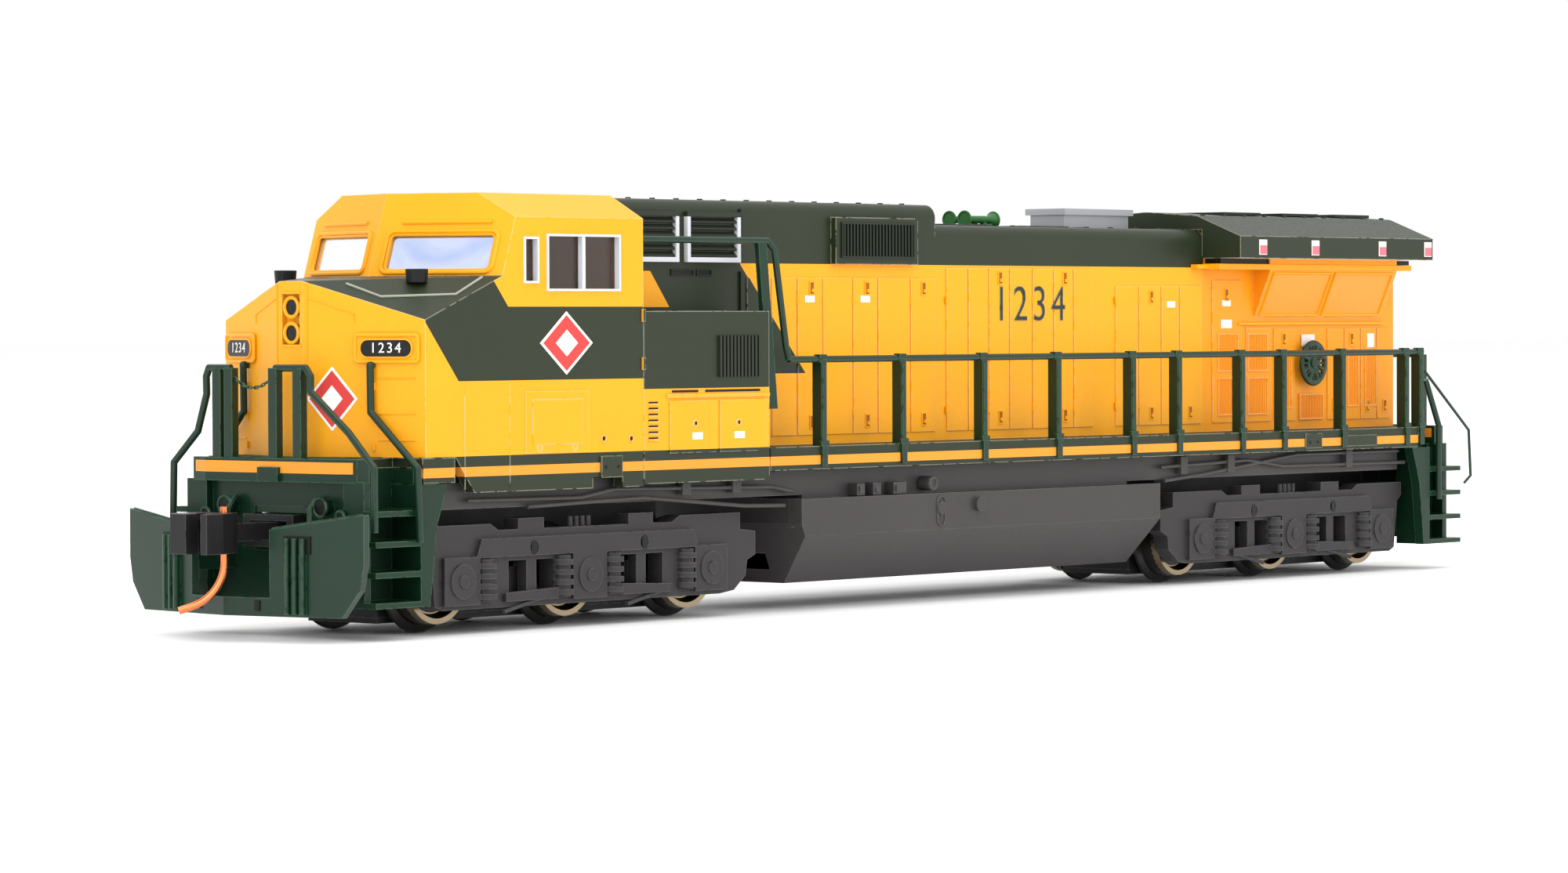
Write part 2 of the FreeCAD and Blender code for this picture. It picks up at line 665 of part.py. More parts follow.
def front_pilot():
    half = [(-64.9, 8.2), (-65.8, 7.9), ("-pilot_face", 6.3)]
    outline = half + [(x, "-(%s)" % y) for x, y in reversed(half)]
    climber = prism("front_climber", "XY", outline, "sill_bottom + 0.1", "deck_top")
    toe = box("toe_board", ("-pilot_face - 0.25", "-pilot_face + 0.5"), (-1.0, 1.0),
              ("sill_bottom + 0.1", 11.6))
    treads = both_sides(steps("front_step", -65.8, -61.4, 4))
    solid = fuse("front_pilot_solid", [climber, toe] + pilot_parts("front") + treads)
    return keep(cut("front_pilot", solid, pilot_rooms("front")), "front_pilot")


def rear_pilot():
    climber = box("rear_climber", (64.9, "pilot_face"), (-7.9, 7.9), ("sill_bottom + 0.1", "deck_top"))
    treads = both_sides(steps("rear_step", 61.4, 66.3, 4))
    solid = fuse("rear_pilot_solid", [climber] + turned_to_rear(pilot_parts("rear")) + treads)
    return keep(cut("rear_pilot", solid, turned_to_rear(pilot_rooms("rear"))), "rear_pilot")


POST_PLACES = (-19.27, -9.97, -0.10, 9.22, 18.95, 25.12, 33.81, 39.73, 48.32, 57.80, 60.0)


def cab_pipe():
    """The pipe from the back of the cab that bends down and out to the handrail."""
    rear, foot, top = value("cab_rear"), value("pipe_foot"), value("pipe_height")
    near, far, rail = -value("pipe_half"), -value("rail_half"), value("rail_height")
    line = [(rear + 0.05, near, top), (foot - 1.2, near, top), (foot - 0.5, near - 0.1, top - 0.7),
            (foot - 0.3, far, rail + 0.9), (foot, far, rail)]
    collar = rod("pipe_collar", ("cab_rear + 0.02", "-pipe_half", "pipe_height"), "x", "1.5 * rail_radius",
                 0.8)
    return fuse("cab_pipe", [bent_rail("cab_pipe_run", line), collar])


def side_handrails():
    """Stanchions that hook over the sill, with one rail along their tops."""
    parts = []
    for number, middle in enumerate(POST_PLACES):
        span = ("%s - post_width / 2" % middle, "%s + post_width / 2" % middle)
        parts.append(box("post_foot_%d" % number, span, ("-sill_half - 0.2", "-sill_half"),
                         (10.71, "deck_top + 0.3")))
        parts.append(box("post_%d" % number, span, ("-sill_half - 0.1", "-rail_half + 0.55"),
                         ("deck_top", "rail_height")))
    parts.append(rod("side_rail", ("pipe_foot", "-rail_half", "rail_height"), "x", "rail_radius",
                     "60.5 - pipe_foot"))
    parts.append(prism("cab_post", "YZ",
                       [("-rail_half - 0.25", 15.0), ("-rail_half + 0.15", 15.0),
                        ("-pipe_half + 0.2", "pipe_height"), ("-pipe_half - 0.2", "pipe_height")],
                       "cabinet_rear", "cabinet_rear + 0.9"))
    parts.append(cab_pipe())
    return keep(group("side_handrails", both_sides([fuse("side_rail_set", parts)])), "side_handrails")


def bent_rail(name, points, size="rail_radius"):
    """A thin round bar through the given points, with a ball at each bend."""
    radius = value(size)
    pieces = []
    for start, end in zip(points, points[1:]):
        low, high = FreeCAD.Vector(*start), FreeCAD.Vector(*end)
        reach = high - low
        pieces.append(Part.makeCylinder(radius, reach.Length, low, reach))
    for bend in points[1:-1]:
        pieces.append(Part.makeSphere(radius, FreeCAD.Vector(*bend)))
    feature = doc.addObject("Part::Feature", name)
    feature.Shape = pieces[0].fuse(pieces[1:])
    return feature


def end_handrails():
    """Posts and rails over the two end platforms, and the rails that follow the steps down."""
    parts = []
    top, post_half = 18.3, 0.4
    rows = (("front", -66.0, (5.4, 4.25, -0.05, -2.4)), ("rear", 65.4, (-6.0, -2.4, 2.4, 6.0)))
    for end, start, places in rows:
        for number, middle in enumerate(places):
            parts.append(box("%s_post_%d" % (end, number), (start, start + 0.6),
                             (middle - post_half, middle + post_half), ("deck_top", top)))
    near_line = [(-65.7, -0.05, top), (-65.7, -3.0, top), (-65.7, -3.44, 17.76), (-65.7, -3.44, 16.7),
                 (-65.9, -7.25, 13.97), (-66.1, -9.82, 11.65), (-66.1, -9.83, 7.35)]
    far_line = [(-65.7, 4.25, top), (-65.7, 6.4, top), (-65.7, 6.68, 17.7), (-65.7, 6.65, 16.5),
                (-65.7, 7.54, 13.94), (-65.7, 9.95, 11.75), (-65.7, 10.05, 7.95)]
    parts.append(bent_rail("front_bar_near", near_line))
    parts.append(bent_rail("front_bar_far", far_line))
    for name, side in (("near", -1), ("far", 1)):
        front_line = [(-62.37, side * 6.01, 18.48), (-62.73, side * 6.14, 18.48), (-62.68, side * 6.14, 15.3),
                      (-62.12, side * 9.97, 11.57), (-61.9, side * 9.97, 6.58)]
        rear_line = [(60.62, side * 9.8, 16.2), (62.44, side * 9.95, 12.24), (62.44, side * 9.95, 6.0)]
        wire_line = [(60.62, side * 9.75, 16.9), (67.1, side * 9.95, 11.8), (67.4, side * 9.95, 7.9),
                     (66.5, side * 9.9, 7.3)]
        parts.append(bent_rail("front_grab_" + name, front_line))
        parts.append(bent_rail("rear_grab_" + name, rear_line))
        parts.append(bent_rail("rear_wire_" + name, wire_line, "wire_radius"))
    parts.append(bent_rail("rear_bar_near", [(65.7, -2.4, top), (65.7, -6.0, top)]))
    parts.append(bent_rail("rear_bar_far", [(65.7, 2.4, top), (65.7, 6.0, top)]))
    return keep(group("end_handrails", [fuse("end_rail_set", parts)]), "end_handrails")


def snow_plow():
    """V-shaped blade; each half is drawn square to the centre line and then swept back."""
    reach = math.hypot(value("plow_half"), value("plow_sweep"))
    sweep = math.degrees(math.atan2(value("plow_sweep"), value("plow_half")))
    blade = prism("blade_form", "YZ",
                  [(0, "plow_bottom"), (reach - 1.8, "plow_bottom"), (reach - 0.35, 3.6), (reach, 5.3),
                   (reach, "plow_top"), ("notch_half", "plow_top - 1.1"), ("notch_half", 3.0), (0, 3.0)],
                  0, "plow_thk")
    ribs = [box("rib_%d" % number, ("-0.3", "0.1"), (5.2 + 0.62 * number, 5.55 + 0.62 * number), (1.9, 7.0))
            for number in range(3)]
    half = fuse("blade_half", [blade] + ribs)
    half.Placement = FreeCAD.Placement(FreeCAD.Vector(), FreeCAD.Rotation(FreeCAD.Vector(0, 0, 1), -sweep))
    half.setExpression("Placement.Base.x", "dims.plow_apex")
    hanger = box("plow_hanger", (-69.6, -65.2), (4.3, 5.4), (4.6, 6.4))
    return keep(fuse("snow_plow", both_sides([half, hanger])), "snow_plow")


# --- tank, chassis and drive -----------------------------------------------------------------

def fuel_tank():
    """The tank moulding with its side beams, open on top."""
    half = [("-tank_keel", "tank_bottom"), ("-tank_half", "tank_crease"), ("-tank_half", "tank_top")]
    outline = half + [(y[1:], z) for y, z in reversed(half)]
    tank = prism("tank_form", "YZ", outline, "tank_front", "tank_rear")
    hollow = box("tank_hollow", ("tank_front + 1", "tank_rear - 1"), ("-tank_keel + 1", "tank_keel - 1"),
                 ("tank_bottom + 1", "tank_top + 1"))
    nose_slope = prism("tank_slope", "XZ", [("tank_front - 1", 1), ("tank_front + 2.4", 1),
                                            ("tank_front", 6.5),
                                            ("tank_front - 1", 6.5)], -11, 11)
    beam = box("side_beam", (-58.5, 58.5), (-8.3, -7.3), (8.6, 10.4))
    tie = box("beam_tie", (-20, 20), (-8.3, -5.0), ("tank_top", 8.7))
    gauge = rod("fuel_gauge", (-5.0, "-tank_half - 0.15", 7.2), "y", 0.5, 0.4)
    filler = rod("fuel_filler", (-0.5, "-tank_half - 0.35", 7.4), "y", 0.55, 0.6)
    shell = fuse("tank_solid", [tank, gauge, filler] + both_sides([beam, tie]))
    return keep(cut("fuel_tank", shell, [hollow, nose_slope]), "fuel_tank")


def frame_half():
    """One cast half of the chassis, with room for motor, flywheels, worms and gearboxes."""
    outline = [(-24.2, "frame_low"), (24.2, "frame_low"), (24.2, "frame_high"), ("frame_end", "frame_high"),
               ("frame_end", "frame_top - 2"), (36, "frame_top"), (-36, "frame_top"),
               ("-frame_end", "frame_top - 2"), ("-frame_end", "frame_high"), (-24.2, "frame_high")]
    casting = prism("frame_form", "XZ", outline, "-frame_half", "-frame_gap")
    rooms = [box("motor_room", ("-motor_half - 0.2", "motor_half + 0.2"), ("-frame_half - 1", 0),
                 ("drive_height - motor_radius - 0.2", "frame_top + 1")),
             rod("shaft_room", ("-frame_end + 5", 0, "drive_height"), "x", 1.15, "2 * frame_end - 10")]
    for end in (-1, 1):
        middle = "%d * truck_spread" % end
        near, far = sorted((end * 11.7, end * 20.3))
        rooms.append(box("flywheel_room_%d" % (end + 1), (near, far), ("-frame_half - 1", 0),
                         ("drive_height - fly_radius - 0.3", "drive_height + fly_radius + 0.3")))
        rooms.append(box("worm_room_%d" % (end + 1), (middle + " - 6", middle + " + 6"),
                         ("-2.4", 0), ("frame_high - 1", "drive_height + 2.3")))
        for number, reach in enumerate((-7.2, 7.2)):
            rooms.append(rod("bearing_seat_%d_%d" % (end + 1, number),
                             ("%s + %s - 0.8" % (middle, reach), 0, "drive_height"), "x", 1.5, 1.6))
    for number, (x_place, z_place) in enumerate(SCREW_PLACES):
        rooms.append(rod("screw_hole_%d" % number, (x_place, "-frame_half - 1", z_place), "y", 0.75, 6))
        rooms.append(rod("screw_seat_%d" % number, (x_place, "-frame_half - 1", z_place), "y", 1.3, 1.8))
    return cut("frame_half", casting, rooms)


SCREW_PLACES = ((-30.0, 19.8), (30.0, 19.8), (0.0, 9.85))


def frames():
    left = frame_half()
    keep(group("frame_left", [left]), "frame_left")
    keep(group("frame_right", [mirror(left)]), "frame_right")


def frame_screws():
    screws = []
    for number, (x_place, z_place) in enumerate(SCREW_PLACES):
        shank = rod("screw_shank_%d" % number, (x_place, "-frame_half + 0.8", z_place), "y", 0.7,
                    "2 * frame_half - 1.6")
        head = rod("screw_head_%d" % number, (x_place, "-frame_half + 0.05", z_place), "y", 1.2, 0.75)
        slot = box("screw_slot_%d" % number, (x_place - 1.3, x_place + 1.3),
                   ("-frame_half - 0.1", "-frame_half + 0.3"),
                   (z_place - 0.15, z_place + 0.15))
        screws.append(cut("screw_%d" % number, fuse("screw_form_%d" % number, [shank, head]), [slot]))
    return keep(group("frame_screws", screws), "frame_screws")


def motor_case():
    can = box("motor_can", ("-motor_half", "motor_half"), ("-motor_radius", "motor_radius"),
              ("drive_height - motor_radius", "drive_height + motor_radius"))
    bore = rod("motor_bore", ("-motor_half + 0.8", 0, "drive_height"), "x", "rotor_radius + 0.3",
               "2 * motor_half - 1.6")
    bush = rod("motor_bush", ("-motor_half - 1", 0, "drive_height"), "x", "shaft_radius + run_gap",
               "2 * motor_half + 2")
    return keep(cut("motor_case", can, [bore, bush]), "motor_case")


def motor_rotor():
    form = turned("rotor_form", "XZ",
                  [(-22.5, 0), (22.5, 0), (22.5, "shaft_radius"), (7.8, "shaft_radius"), (7.8, 1.6),
                   (6.4, 1.6), (6.4, "rotor_radius"), (-7, "rotor_radius"), (-7, "shaft_radius"),
                   (-22.5, "shaft_radius")])
    return keep(place(group("motor_rotor", [form]), 0, "drive_height"), "motor_rotor")


def flywheels():
    discs = []
    for name, start in (("front", "-wheel_end"), ("rear", "wheel_start")):
        disc = rod(name + "_flywheel", (start, 0, "drive_height"), "x", "fly_radius",
                   "wheel_end - wheel_start")
        hole = rod(name + "_flywheel_hole", (start + " - 1", 0, "drive_height"), "x", "shaft_radius",
                   "wheel_end - wheel_start + 2")
        discs.append(cut(name + "_flywheel_disc", disc, [hole]))
    return keep(group("flywheels", discs), "flywheels")


def worm_form():
    """Single-start right-hand worm on its shaft; a ridge points down over the worm gear's centre."""
    lead = math.pi * value("gear_module")
    root = value("worm_pitch_radius") - 0.36
    crest = value("worm_pitch_radius") + 0.2
    turns = 7
    length = lead * turns
    foot, tip = value("thread_width") / 2 + 0.09, value("thread_width") / 2 - 0.05
    helix = Part.makeHelix(lead, length, root)
    sunk = root - 0.05
    corners = [FreeCAD.Vector(sunk, 0, -foot), FreeCAD.Vector(crest, 0, -tip),
               FreeCAD.Vector(crest, 0, tip), FreeCAD.Vector(sunk, 0, foot)]
    profile = Part.makePolygon(corners + corners[:1])
    thread = Part.Wire(helix.Edges).makePipeShell([profile], True, True)
    # the helix climbs +Z from +X; turned so that +Z becomes +X and the start faces down
    stand = FreeCAD.Rotation(FreeCAD.Vector(0, 1, 0), 90)
    thread.Placement = FreeCAD.Placement(FreeCAD.Vector(value("worm_offset") - length / 2, 0, 0), stand)
    if turns % 2:
        half_turn = FreeCAD.Rotation(FreeCAD.Vector(1, 0, 0), 180)
        thread.Placement = FreeCAD.Placement(thread.Placement.Base, half_turn.multiply(stand))
    shaft = Part.makeCylinder(value("journal_radius"), 28.4, FreeCAD.Vector(-8.2, 0, 0),
                              FreeCAD.Vector(1, 0, 0))
    core = Part.makeCylinder(root, 11.6, FreeCAD.Vector(-5.8, 0, 0), FreeCAD.Vector(1, 0, 0))
    feature = doc.addObject("Part::Feature", "worm_form")
    feature.Shape = core.fuse([shaft, thread]).removeSplitter()
    return feature


def worm_shafts():
    form = worm_form()
    keep(place(group("front_worm_shaft", [form]), "-truck_spread", "drive_height"), "front_worm_shaft")
    keep(place(group("rear_worm_shaft", [form]), "truck_spread", "drive_height", 180), "rear_worm_shaft")


def worm_bearings():
    bushes = []
    for end in (-1, 1):
        for number, reach in enumerate((-7.2, 7.2)):
            start = ("%d * truck_spread + %s - 0.8" % (end, reach), 0, "drive_height")
            name = "bush_%d_%d" % (end + 1, number)
            bushes.append(cut(name, rod(name + "_outer", start, "x", 1.5, 1.6),
                              [rod(name + "_bore", start, "x", "journal_radius + run_gap", 1.6)]))
    return keep(group("worm_bearings", bushes), "worm_bearings")


def light_board():
    board = box("board_sheet", (-36, 32), (-4.4, 4.4), ("frame_top", "frame_top + 0.8"))
    lamp = box("board_lamp", (-36, -34), (-1, 1), ("frame_top + 0.8", "frame_top + 2"))
    return keep(fuse("light_board", [board, lamp]), "light_board")


def contact_strips():
    """Spring bronze strips under the deck that lead current from the trucks to the chassis halves."""
    strips = []
    for end in (-1, 1):
        middle = "%d * truck_spread" % end
        strips.append(box("strip_%d" % (end + 1), (middle + " - 12", middle + " + 12"), ("-5.9", "-5.1"),
                          (11.3, "deck_top - deck_thk")))
        strips.append(box("strip_tab_%d" % (end + 1), (middle + " + 2", middle + " + 3.4"),
                          ("-5.9", "-5.5"),
                          (9.6, 11.3)))
    return keep(group("contact_strips", both_sides(strips)), "contact_strips")


# --- trucks ----------------------------------------------------------------------------------

def gear_blank(name, teeth, width, bore):
    """Spur gear on the Y axis with involute flanks; one tooth points along +X."""
    module = value("gear_module")
    pitch_radius = module * teeth / 2
    base_radius = pitch_radius * math.cos(math.radians(20))
    tip_radius = pitch_radius + 0.85 * module
    root_radius = pitch_radius - 1.2 * module
    play = 0.06

    def involute(radius):
        angle = math.acos(min(1, base_radius / radius))
        return math.tan(angle) - angle

    half_thick = math.pi / (2 * teeth) - play / (2 * pitch_radius) + involute(pitch_radius)
    start = max(base_radius, root_radius)
    flank = [(root_radius, half_thick)] if root_radius < base_radius else []
    steps_up = 5
    for step in range(steps_up + 1):
        radius = start + (tip_radius - start) * step / steps_up
        flank.append((radius, half_thick - involute(radius)))
    outline = []
    for tooth in range(teeth):
        middle = 2 * math.pi * tooth / teeth
        sides = [(radius, middle - half) for radius, half in flank]
        sides += [(radius, middle + half) for radius, half in reversed(flank)]
        outline += [FreeCAD.Vector(radius * math.cos(turn), -width / 2, radius * math.sin(turn))
                    for radius, turn in sides]
    face = Part.Face(Part.makePolygon(outline + outline[:1]))
    solid = face.extrude(FreeCAD.Vector(0, width, 0))
    hole = Part.makeCylinder(bore, width + 1, FreeCAD.Vector(0, -width / 2 - 0.5, 0),
                             FreeCAD.Vector(0, 1, 0))
    feature = doc.addObject("Part::Feature", name)
    feature.Shape = solid.cut(hole)
    return feature


class Gear:
    """Where a gear sits in its truck and how it is turned, so that every pair is in mesh."""

    def __init__(self, teeth, x_place, z_place, tooth_angle):
        self.teeth = teeth
        self.pitch = 2 * math.pi / teeth
        self.x_place = x_place
        self.z_place = z_place
        self.tooth_angle = tooth_angle

    def drive(self, teeth, x_place, z_place):
        line = math.atan2(z_place - self.z_place, x_place - self.x_place)
        lag = ((line - self.tooth_angle) / self.pitch) % 1
        other = 2 * math.pi / teeth
        return Gear(teeth, x_place, z_place, line + math.pi + lag * other + other / 2)


def gear_train():
    """Worm gear to inner idler, centre axle, outer idler and end axles, in truck coordinates."""
    module = value("gear_module")
    axle_teeth = int(value("axle_teeth"))
    idler_teeth = int(value("idler_teeth"))
    worm_teeth = int(value("worm_teeth"))
    axle_z = value("axle_height")
    idler_x = value("axle_pitch") / 2
    idler_z = axle_z + math.sqrt((module * (axle_teeth + idler_teeth) / 2) ** 2 - idler_x ** 2)
    worm_x = value("worm_offset")
    worm_z = idler_z + math.sqrt((module * (worm_teeth + idler_teeth) / 2) ** 2 - (idler_x - worm_x) ** 2)
    worm_gear = Gear(worm_teeth, worm_x, worm_z, math.pi / 2 + math.pi / worm_teeth)
    inner = worm_gear.drive(idler_teeth, idler_x, idler_z)
    centre = inner.drive(axle_teeth, 0, axle_z)
    outer = centre.drive(idler_teeth, -idler_x, idler_z)
    return {
        "worm_gear": worm_gear,
        "inner_idler": inner,
        "outer_idler": outer,
        "axle_gear_1": outer.drive(axle_teeth, -2 * idler_x, axle_z),
        "axle_gear_2": centre,
        "axle_gear_3": inner.drive(axle_teeth, 2 * idler_x, axle_z),
    }


def gearbox_form(train):
    low = box("gearbox_low", ("-box_long", "box_long"), ("-box_half", "box_half"),
              ("box_bottom", "box_low_top"))
    high = box("gearbox_high", ("-box_short", "box_short"), ("-box_half", "box_half"),
               ("box_low_top", "box_top"))
    tower = box("gearbox_tower", (-2.3, 3.9), (-1.9, 1.9), ("box_top", 13.3))
    slot = box("gear_slot", ("-box_long + 0.6", "box_long - 0.6"), ("-slot_half", "slot_half"),
               ("box_bottom - 1", 15))
    seats = []
    for number in (-1, 0, 1):
        middle = "%d * axle_pitch" % number
        seats.append(rod("axle_seat_%d" % (number + 1), (middle, "-box_half - 1", "axle_height"), "y",
                         "axle_radius + run_gap", "2 * box_half + 2"))
        seats.append(box("axle_entry_%d" % (number + 1),
                         (middle + " - axle_radius - run_gap", middle + " + axle_radius + run_gap"),
                         ("-box_half - 1", "box_half + 1"), ("box_bottom - 1", "axle_height")))
    walls = cut("gearbox_walls", fuse("gearbox_solid", [low, high, tower]), [slot] + seats)
    pins = [rod("pin_" + name, (train[name].x_place, "-box_half + 0.4", train[name].z_place), "y",
                "gear_pin",
                "2 * box_half - 0.8") for name in ("inner_idler", "outer_idler")]
    worm_gear = train["worm_gear"]
    pins.append(rod("pin_worm_gear", (worm_gear.x_place, -1.8, worm_gear.z_place), "y", "gear_pin", 3.6))
    return fuse("gearbox_form", [walls] + pins)


def cover_form():
    return box("cover_plate", ("-box_long", "box_long"), ("-box_half", "box_half"),
               ("box_bottom - cover_thk", "box_bottom"))


def spring_pack(name, x_place):
    """A coil spring beside a journal, as a stack of rings."""
    rings = [rod("%s_core" % name, (x_place, "-side_outer - 0.05", 2.2), "z", 0.62, 2.9)]
    for number in range(4):
        rings.append(rod("%s_ring_%d" % (name, number),
                         (x_place, "-side_outer - 0.05", 2.35 + 0.7 * number), "z",
                         0.85, 0.38))
    return rings


def sideframe_form():
    """Left-hand frame of a six-wheel truck, with its bars to the gearbox."""
    outline = [(-16.4, 7.5), (-16.4, 6.4), (-15.8, 5.9), (-15.3, 2.0), (-14.6, 1.7),
               (14.2, 1.7), (15.8, 1.9), (17.1, 2.9), (17.3, 4.05), (18.2, 4.4),
               (18.2, 6.1), (16.5, 6.3), (16.5, 7.5), (9.9, 7.5), (9.0, 7.05),
               (-9.0, 7.05), (-9.8, 7.5)]
    plate = prism("sideframe_plate", "XZ", outline, "-side_outer", "-side_inner")
    windows = [box("frame_window_%d" % number, (low, high), ("-side_boss - 1", "-side_inner + 1"),
                   (2.6, 4.9))
               for number, (low, high) in enumerate(((-8.0, -3.4), (3.4, 8.0)))]
    beam = prism("sideframe_beam", "XZ", [(-11.5, 5.2), (11.5, 5.2), (11.0, 6.5), (-11.0, 6.5)],
                 "-side_boss",
                 "-side_outer + 0.1")
    parts, holes = [], []
    for number in (-1, 0, 1):
        middle = "%d * axle_pitch" % number
        parts.append(box("journal_box_%d" % (number + 1), (middle + " - 1.75", middle + " + 1.75"),
                         ("-side_boss", "-side_outer + 0.1"), (2.0, 5.3)))
        parts.append(rod("journal_cap_%d" % (number + 1), (middle, "-side_boss - 0.12", "axle_height"), "y",
                         1.2, 0.4))
        parts.append(rod("journal_bolt_%d" % (number + 1), (middle, "-side_boss - 0.22", "axle_height"),
                         "y", 0.45, 0.4))
        holes.append(rod("journal_hole_%d" % (number + 1), (middle, -7.75, "axle_height"), "y",
                         "journal_radius + run_gap", 2))
    for number, spot in enumerate((-10.4, -2.6, 2.6, 10.4)):
        parts += spring_pack("spring_%d" % number, spot)
    for number, (spot, bar) in enumerate(((-5.7, -6.47), (5.7, 6.47))):
        parts.append(box("bolster_pad_%d" % number, (spot - 1.3, spot + 1.3),
                         ("-side_outer", "-side_inner"), (7.0, 7.8)))
        holes.append(rod("rigging_hole_%d" % number, (spot, "-side_boss - 1", 5.75), "y", 0.45, 1.1))
        parts.append(box("cross_bar_%d" % number, (bar - 1.1, bar + 1.1),
                         ("-side_inner - 0.1", "-box_half"), (2.6, 4.4)))
        parts.append(box("shoe_%d" % number, (spot - 0.5, spot + 0.5),
                         ("-side_outer", "-side_inner - 0.6"), (2.5, 5.0)))
    for number, lean in enumerate((-1, 1)):
        parts.append(prism("brake_rod_%d" % number, "XZ",
                           [(lean * 3.2, 2.1), (lean * 8.6, 2.1), (lean * 8.6, 2.7), (lean * 3.2, 2.9)],
                           "-side_boss", "-side_outer + 0.1"))
    plate_open = cut("sideframe_open", plate, windows)
    return cut("sideframe_form", fuse("sideframe_solid", [plate_open, beam] + parts), holes)


def wheel_form():
    """Two wheels on an axle whose thin ends run in the sideframes."""
    half = [(7.6, 0), (7.6, "journal_radius"), (6.35, "journal_radius"), (6.35, 0.9),
            ("wheel_face - 0.15", 0.9),
            ("wheel_face - 0.65", 1.2), ("wheel_face - 0.65", 2.3), ("wheel_face", 2.6),
            ("wheel_face", "tread_radius - 0.12"), ("wheel_back + 0.6", "tread_radius"),
            ("wheel_back + 0.42", "flange_radius - 0.1"), ("wheel_back + 0.25", "flange_radius"),
            ("wheel_back", "flange_radius - 0.15"), ("wheel_back", "axle_radius")]
    outline = [("-(%s)" % y, radius) for y, radius in half] + list(reversed(half))
    return turned("wheel_form", "YZ", outline)


def axle_end_points():
    """Named axles of a truck, from its outer end to the tank."""
    return (("1", "-axle_pitch"), ("2", "0"), ("3", "axle_pitch"))


def trucks():
    train = gear_train()
    blanks = {
        "worm_gear": gear_blank("worm_gear_form", train["worm_gear"].teeth, value("worm_gear_width"),
                                value("gear_pin") + value("run_gap")),
        "idler": gear_blank("idler_form", train["inner_idler"].teeth, value("gear_width"),
                            value("gear_pin") + value("run_gap")),
        "axle_gear": gear_blank("axle_gear_form", train["axle_gear_1"].teeth, value("gear_width"),
                                value("axle_radius")),
    }
    gearbox, cover, side, wheels = gearbox_form(train), cover_form(), sideframe_form(), wheel_form()
    other_side = mirror(side)
    for end, x_text, turn in (("front", "-truck_spread", 0), ("rear", "truck_spread", 180)):
        keep(place(group(end + "_gearbox", [gearbox]), x_text, turn=turn), end + "_gearbox")
        keep(place(group(end + "_gearbox_cover", [cover]), x_text, turn=turn), end + "_gearbox_cover")
        keep(place(group(end + "_sideframes", [side, other_side]), x_text, turn=turn), end + "_sideframes")
        sign = 1 if turn == 0 else -1
        for number, reach in axle_end_points():
            label = "%s_wheels_%s" % (end, number)
            keep(place(group(label, [wheels]), "%s + %d * (%s)" % (x_text, sign, reach), "axle_height"),
                 label)
        for name, gear in train.items():
            blank = blanks["idler" if "idler" in name else name.rstrip("_123")]
            label = "%s_%s" % (end, name)
            spot = group(label, [blank])
            lean = FreeCAD.Rotation(FreeCAD.Vector(0, 1, 0), -math.degrees(gear.tooth_angle))
            half_round = FreeCAD.Rotation(FreeCAD.Vector(0, 0, 1), turn)
            spot.Placement = FreeCAD.Placement(FreeCAD.Vector(0, 0, gear.z_place),
                                               half_round.multiply(lean))
            spot.setExpression("Placement.Base.x", bound("%s + %.6f" % (x_text, sign * gear.x_place)))
            keep(spot, label)


# --- couplers --------------------------------------------------------------------------------

def coupler_boxes():
    """Draft boxes under the end platforms, drawn at the nose and turned for the rear."""
    case = box("draft_case", (-66.4, -61.9), (-2.4, 2.4), ("coupler_height - 1.1", "coupler_height + 1.1"))
    room = box("draft_room", (-67, -62.4), (-1.8, 1.8), ("coupler_height - 0.65", "coupler_height + 0.65"))
    pin = rod("draft_pin", ("-coupler_pivot", 0, "coupler_height - 1"), "z", 0.5, 2)
    hanger = box("draft_hanger", (-64.3, -61.9), (-1.6, 1.6), ("coupler_height + 1", "deck_top - deck_thk"))
    form = fuse("draft_form", [cut("draft_shell", case, [room]), pin, hanger])
    twin = place(group("draft_rear", [form]), 0, turn=180)
    return keep(group("coupler_boxes", [form, twin]), "coupler_boxes")


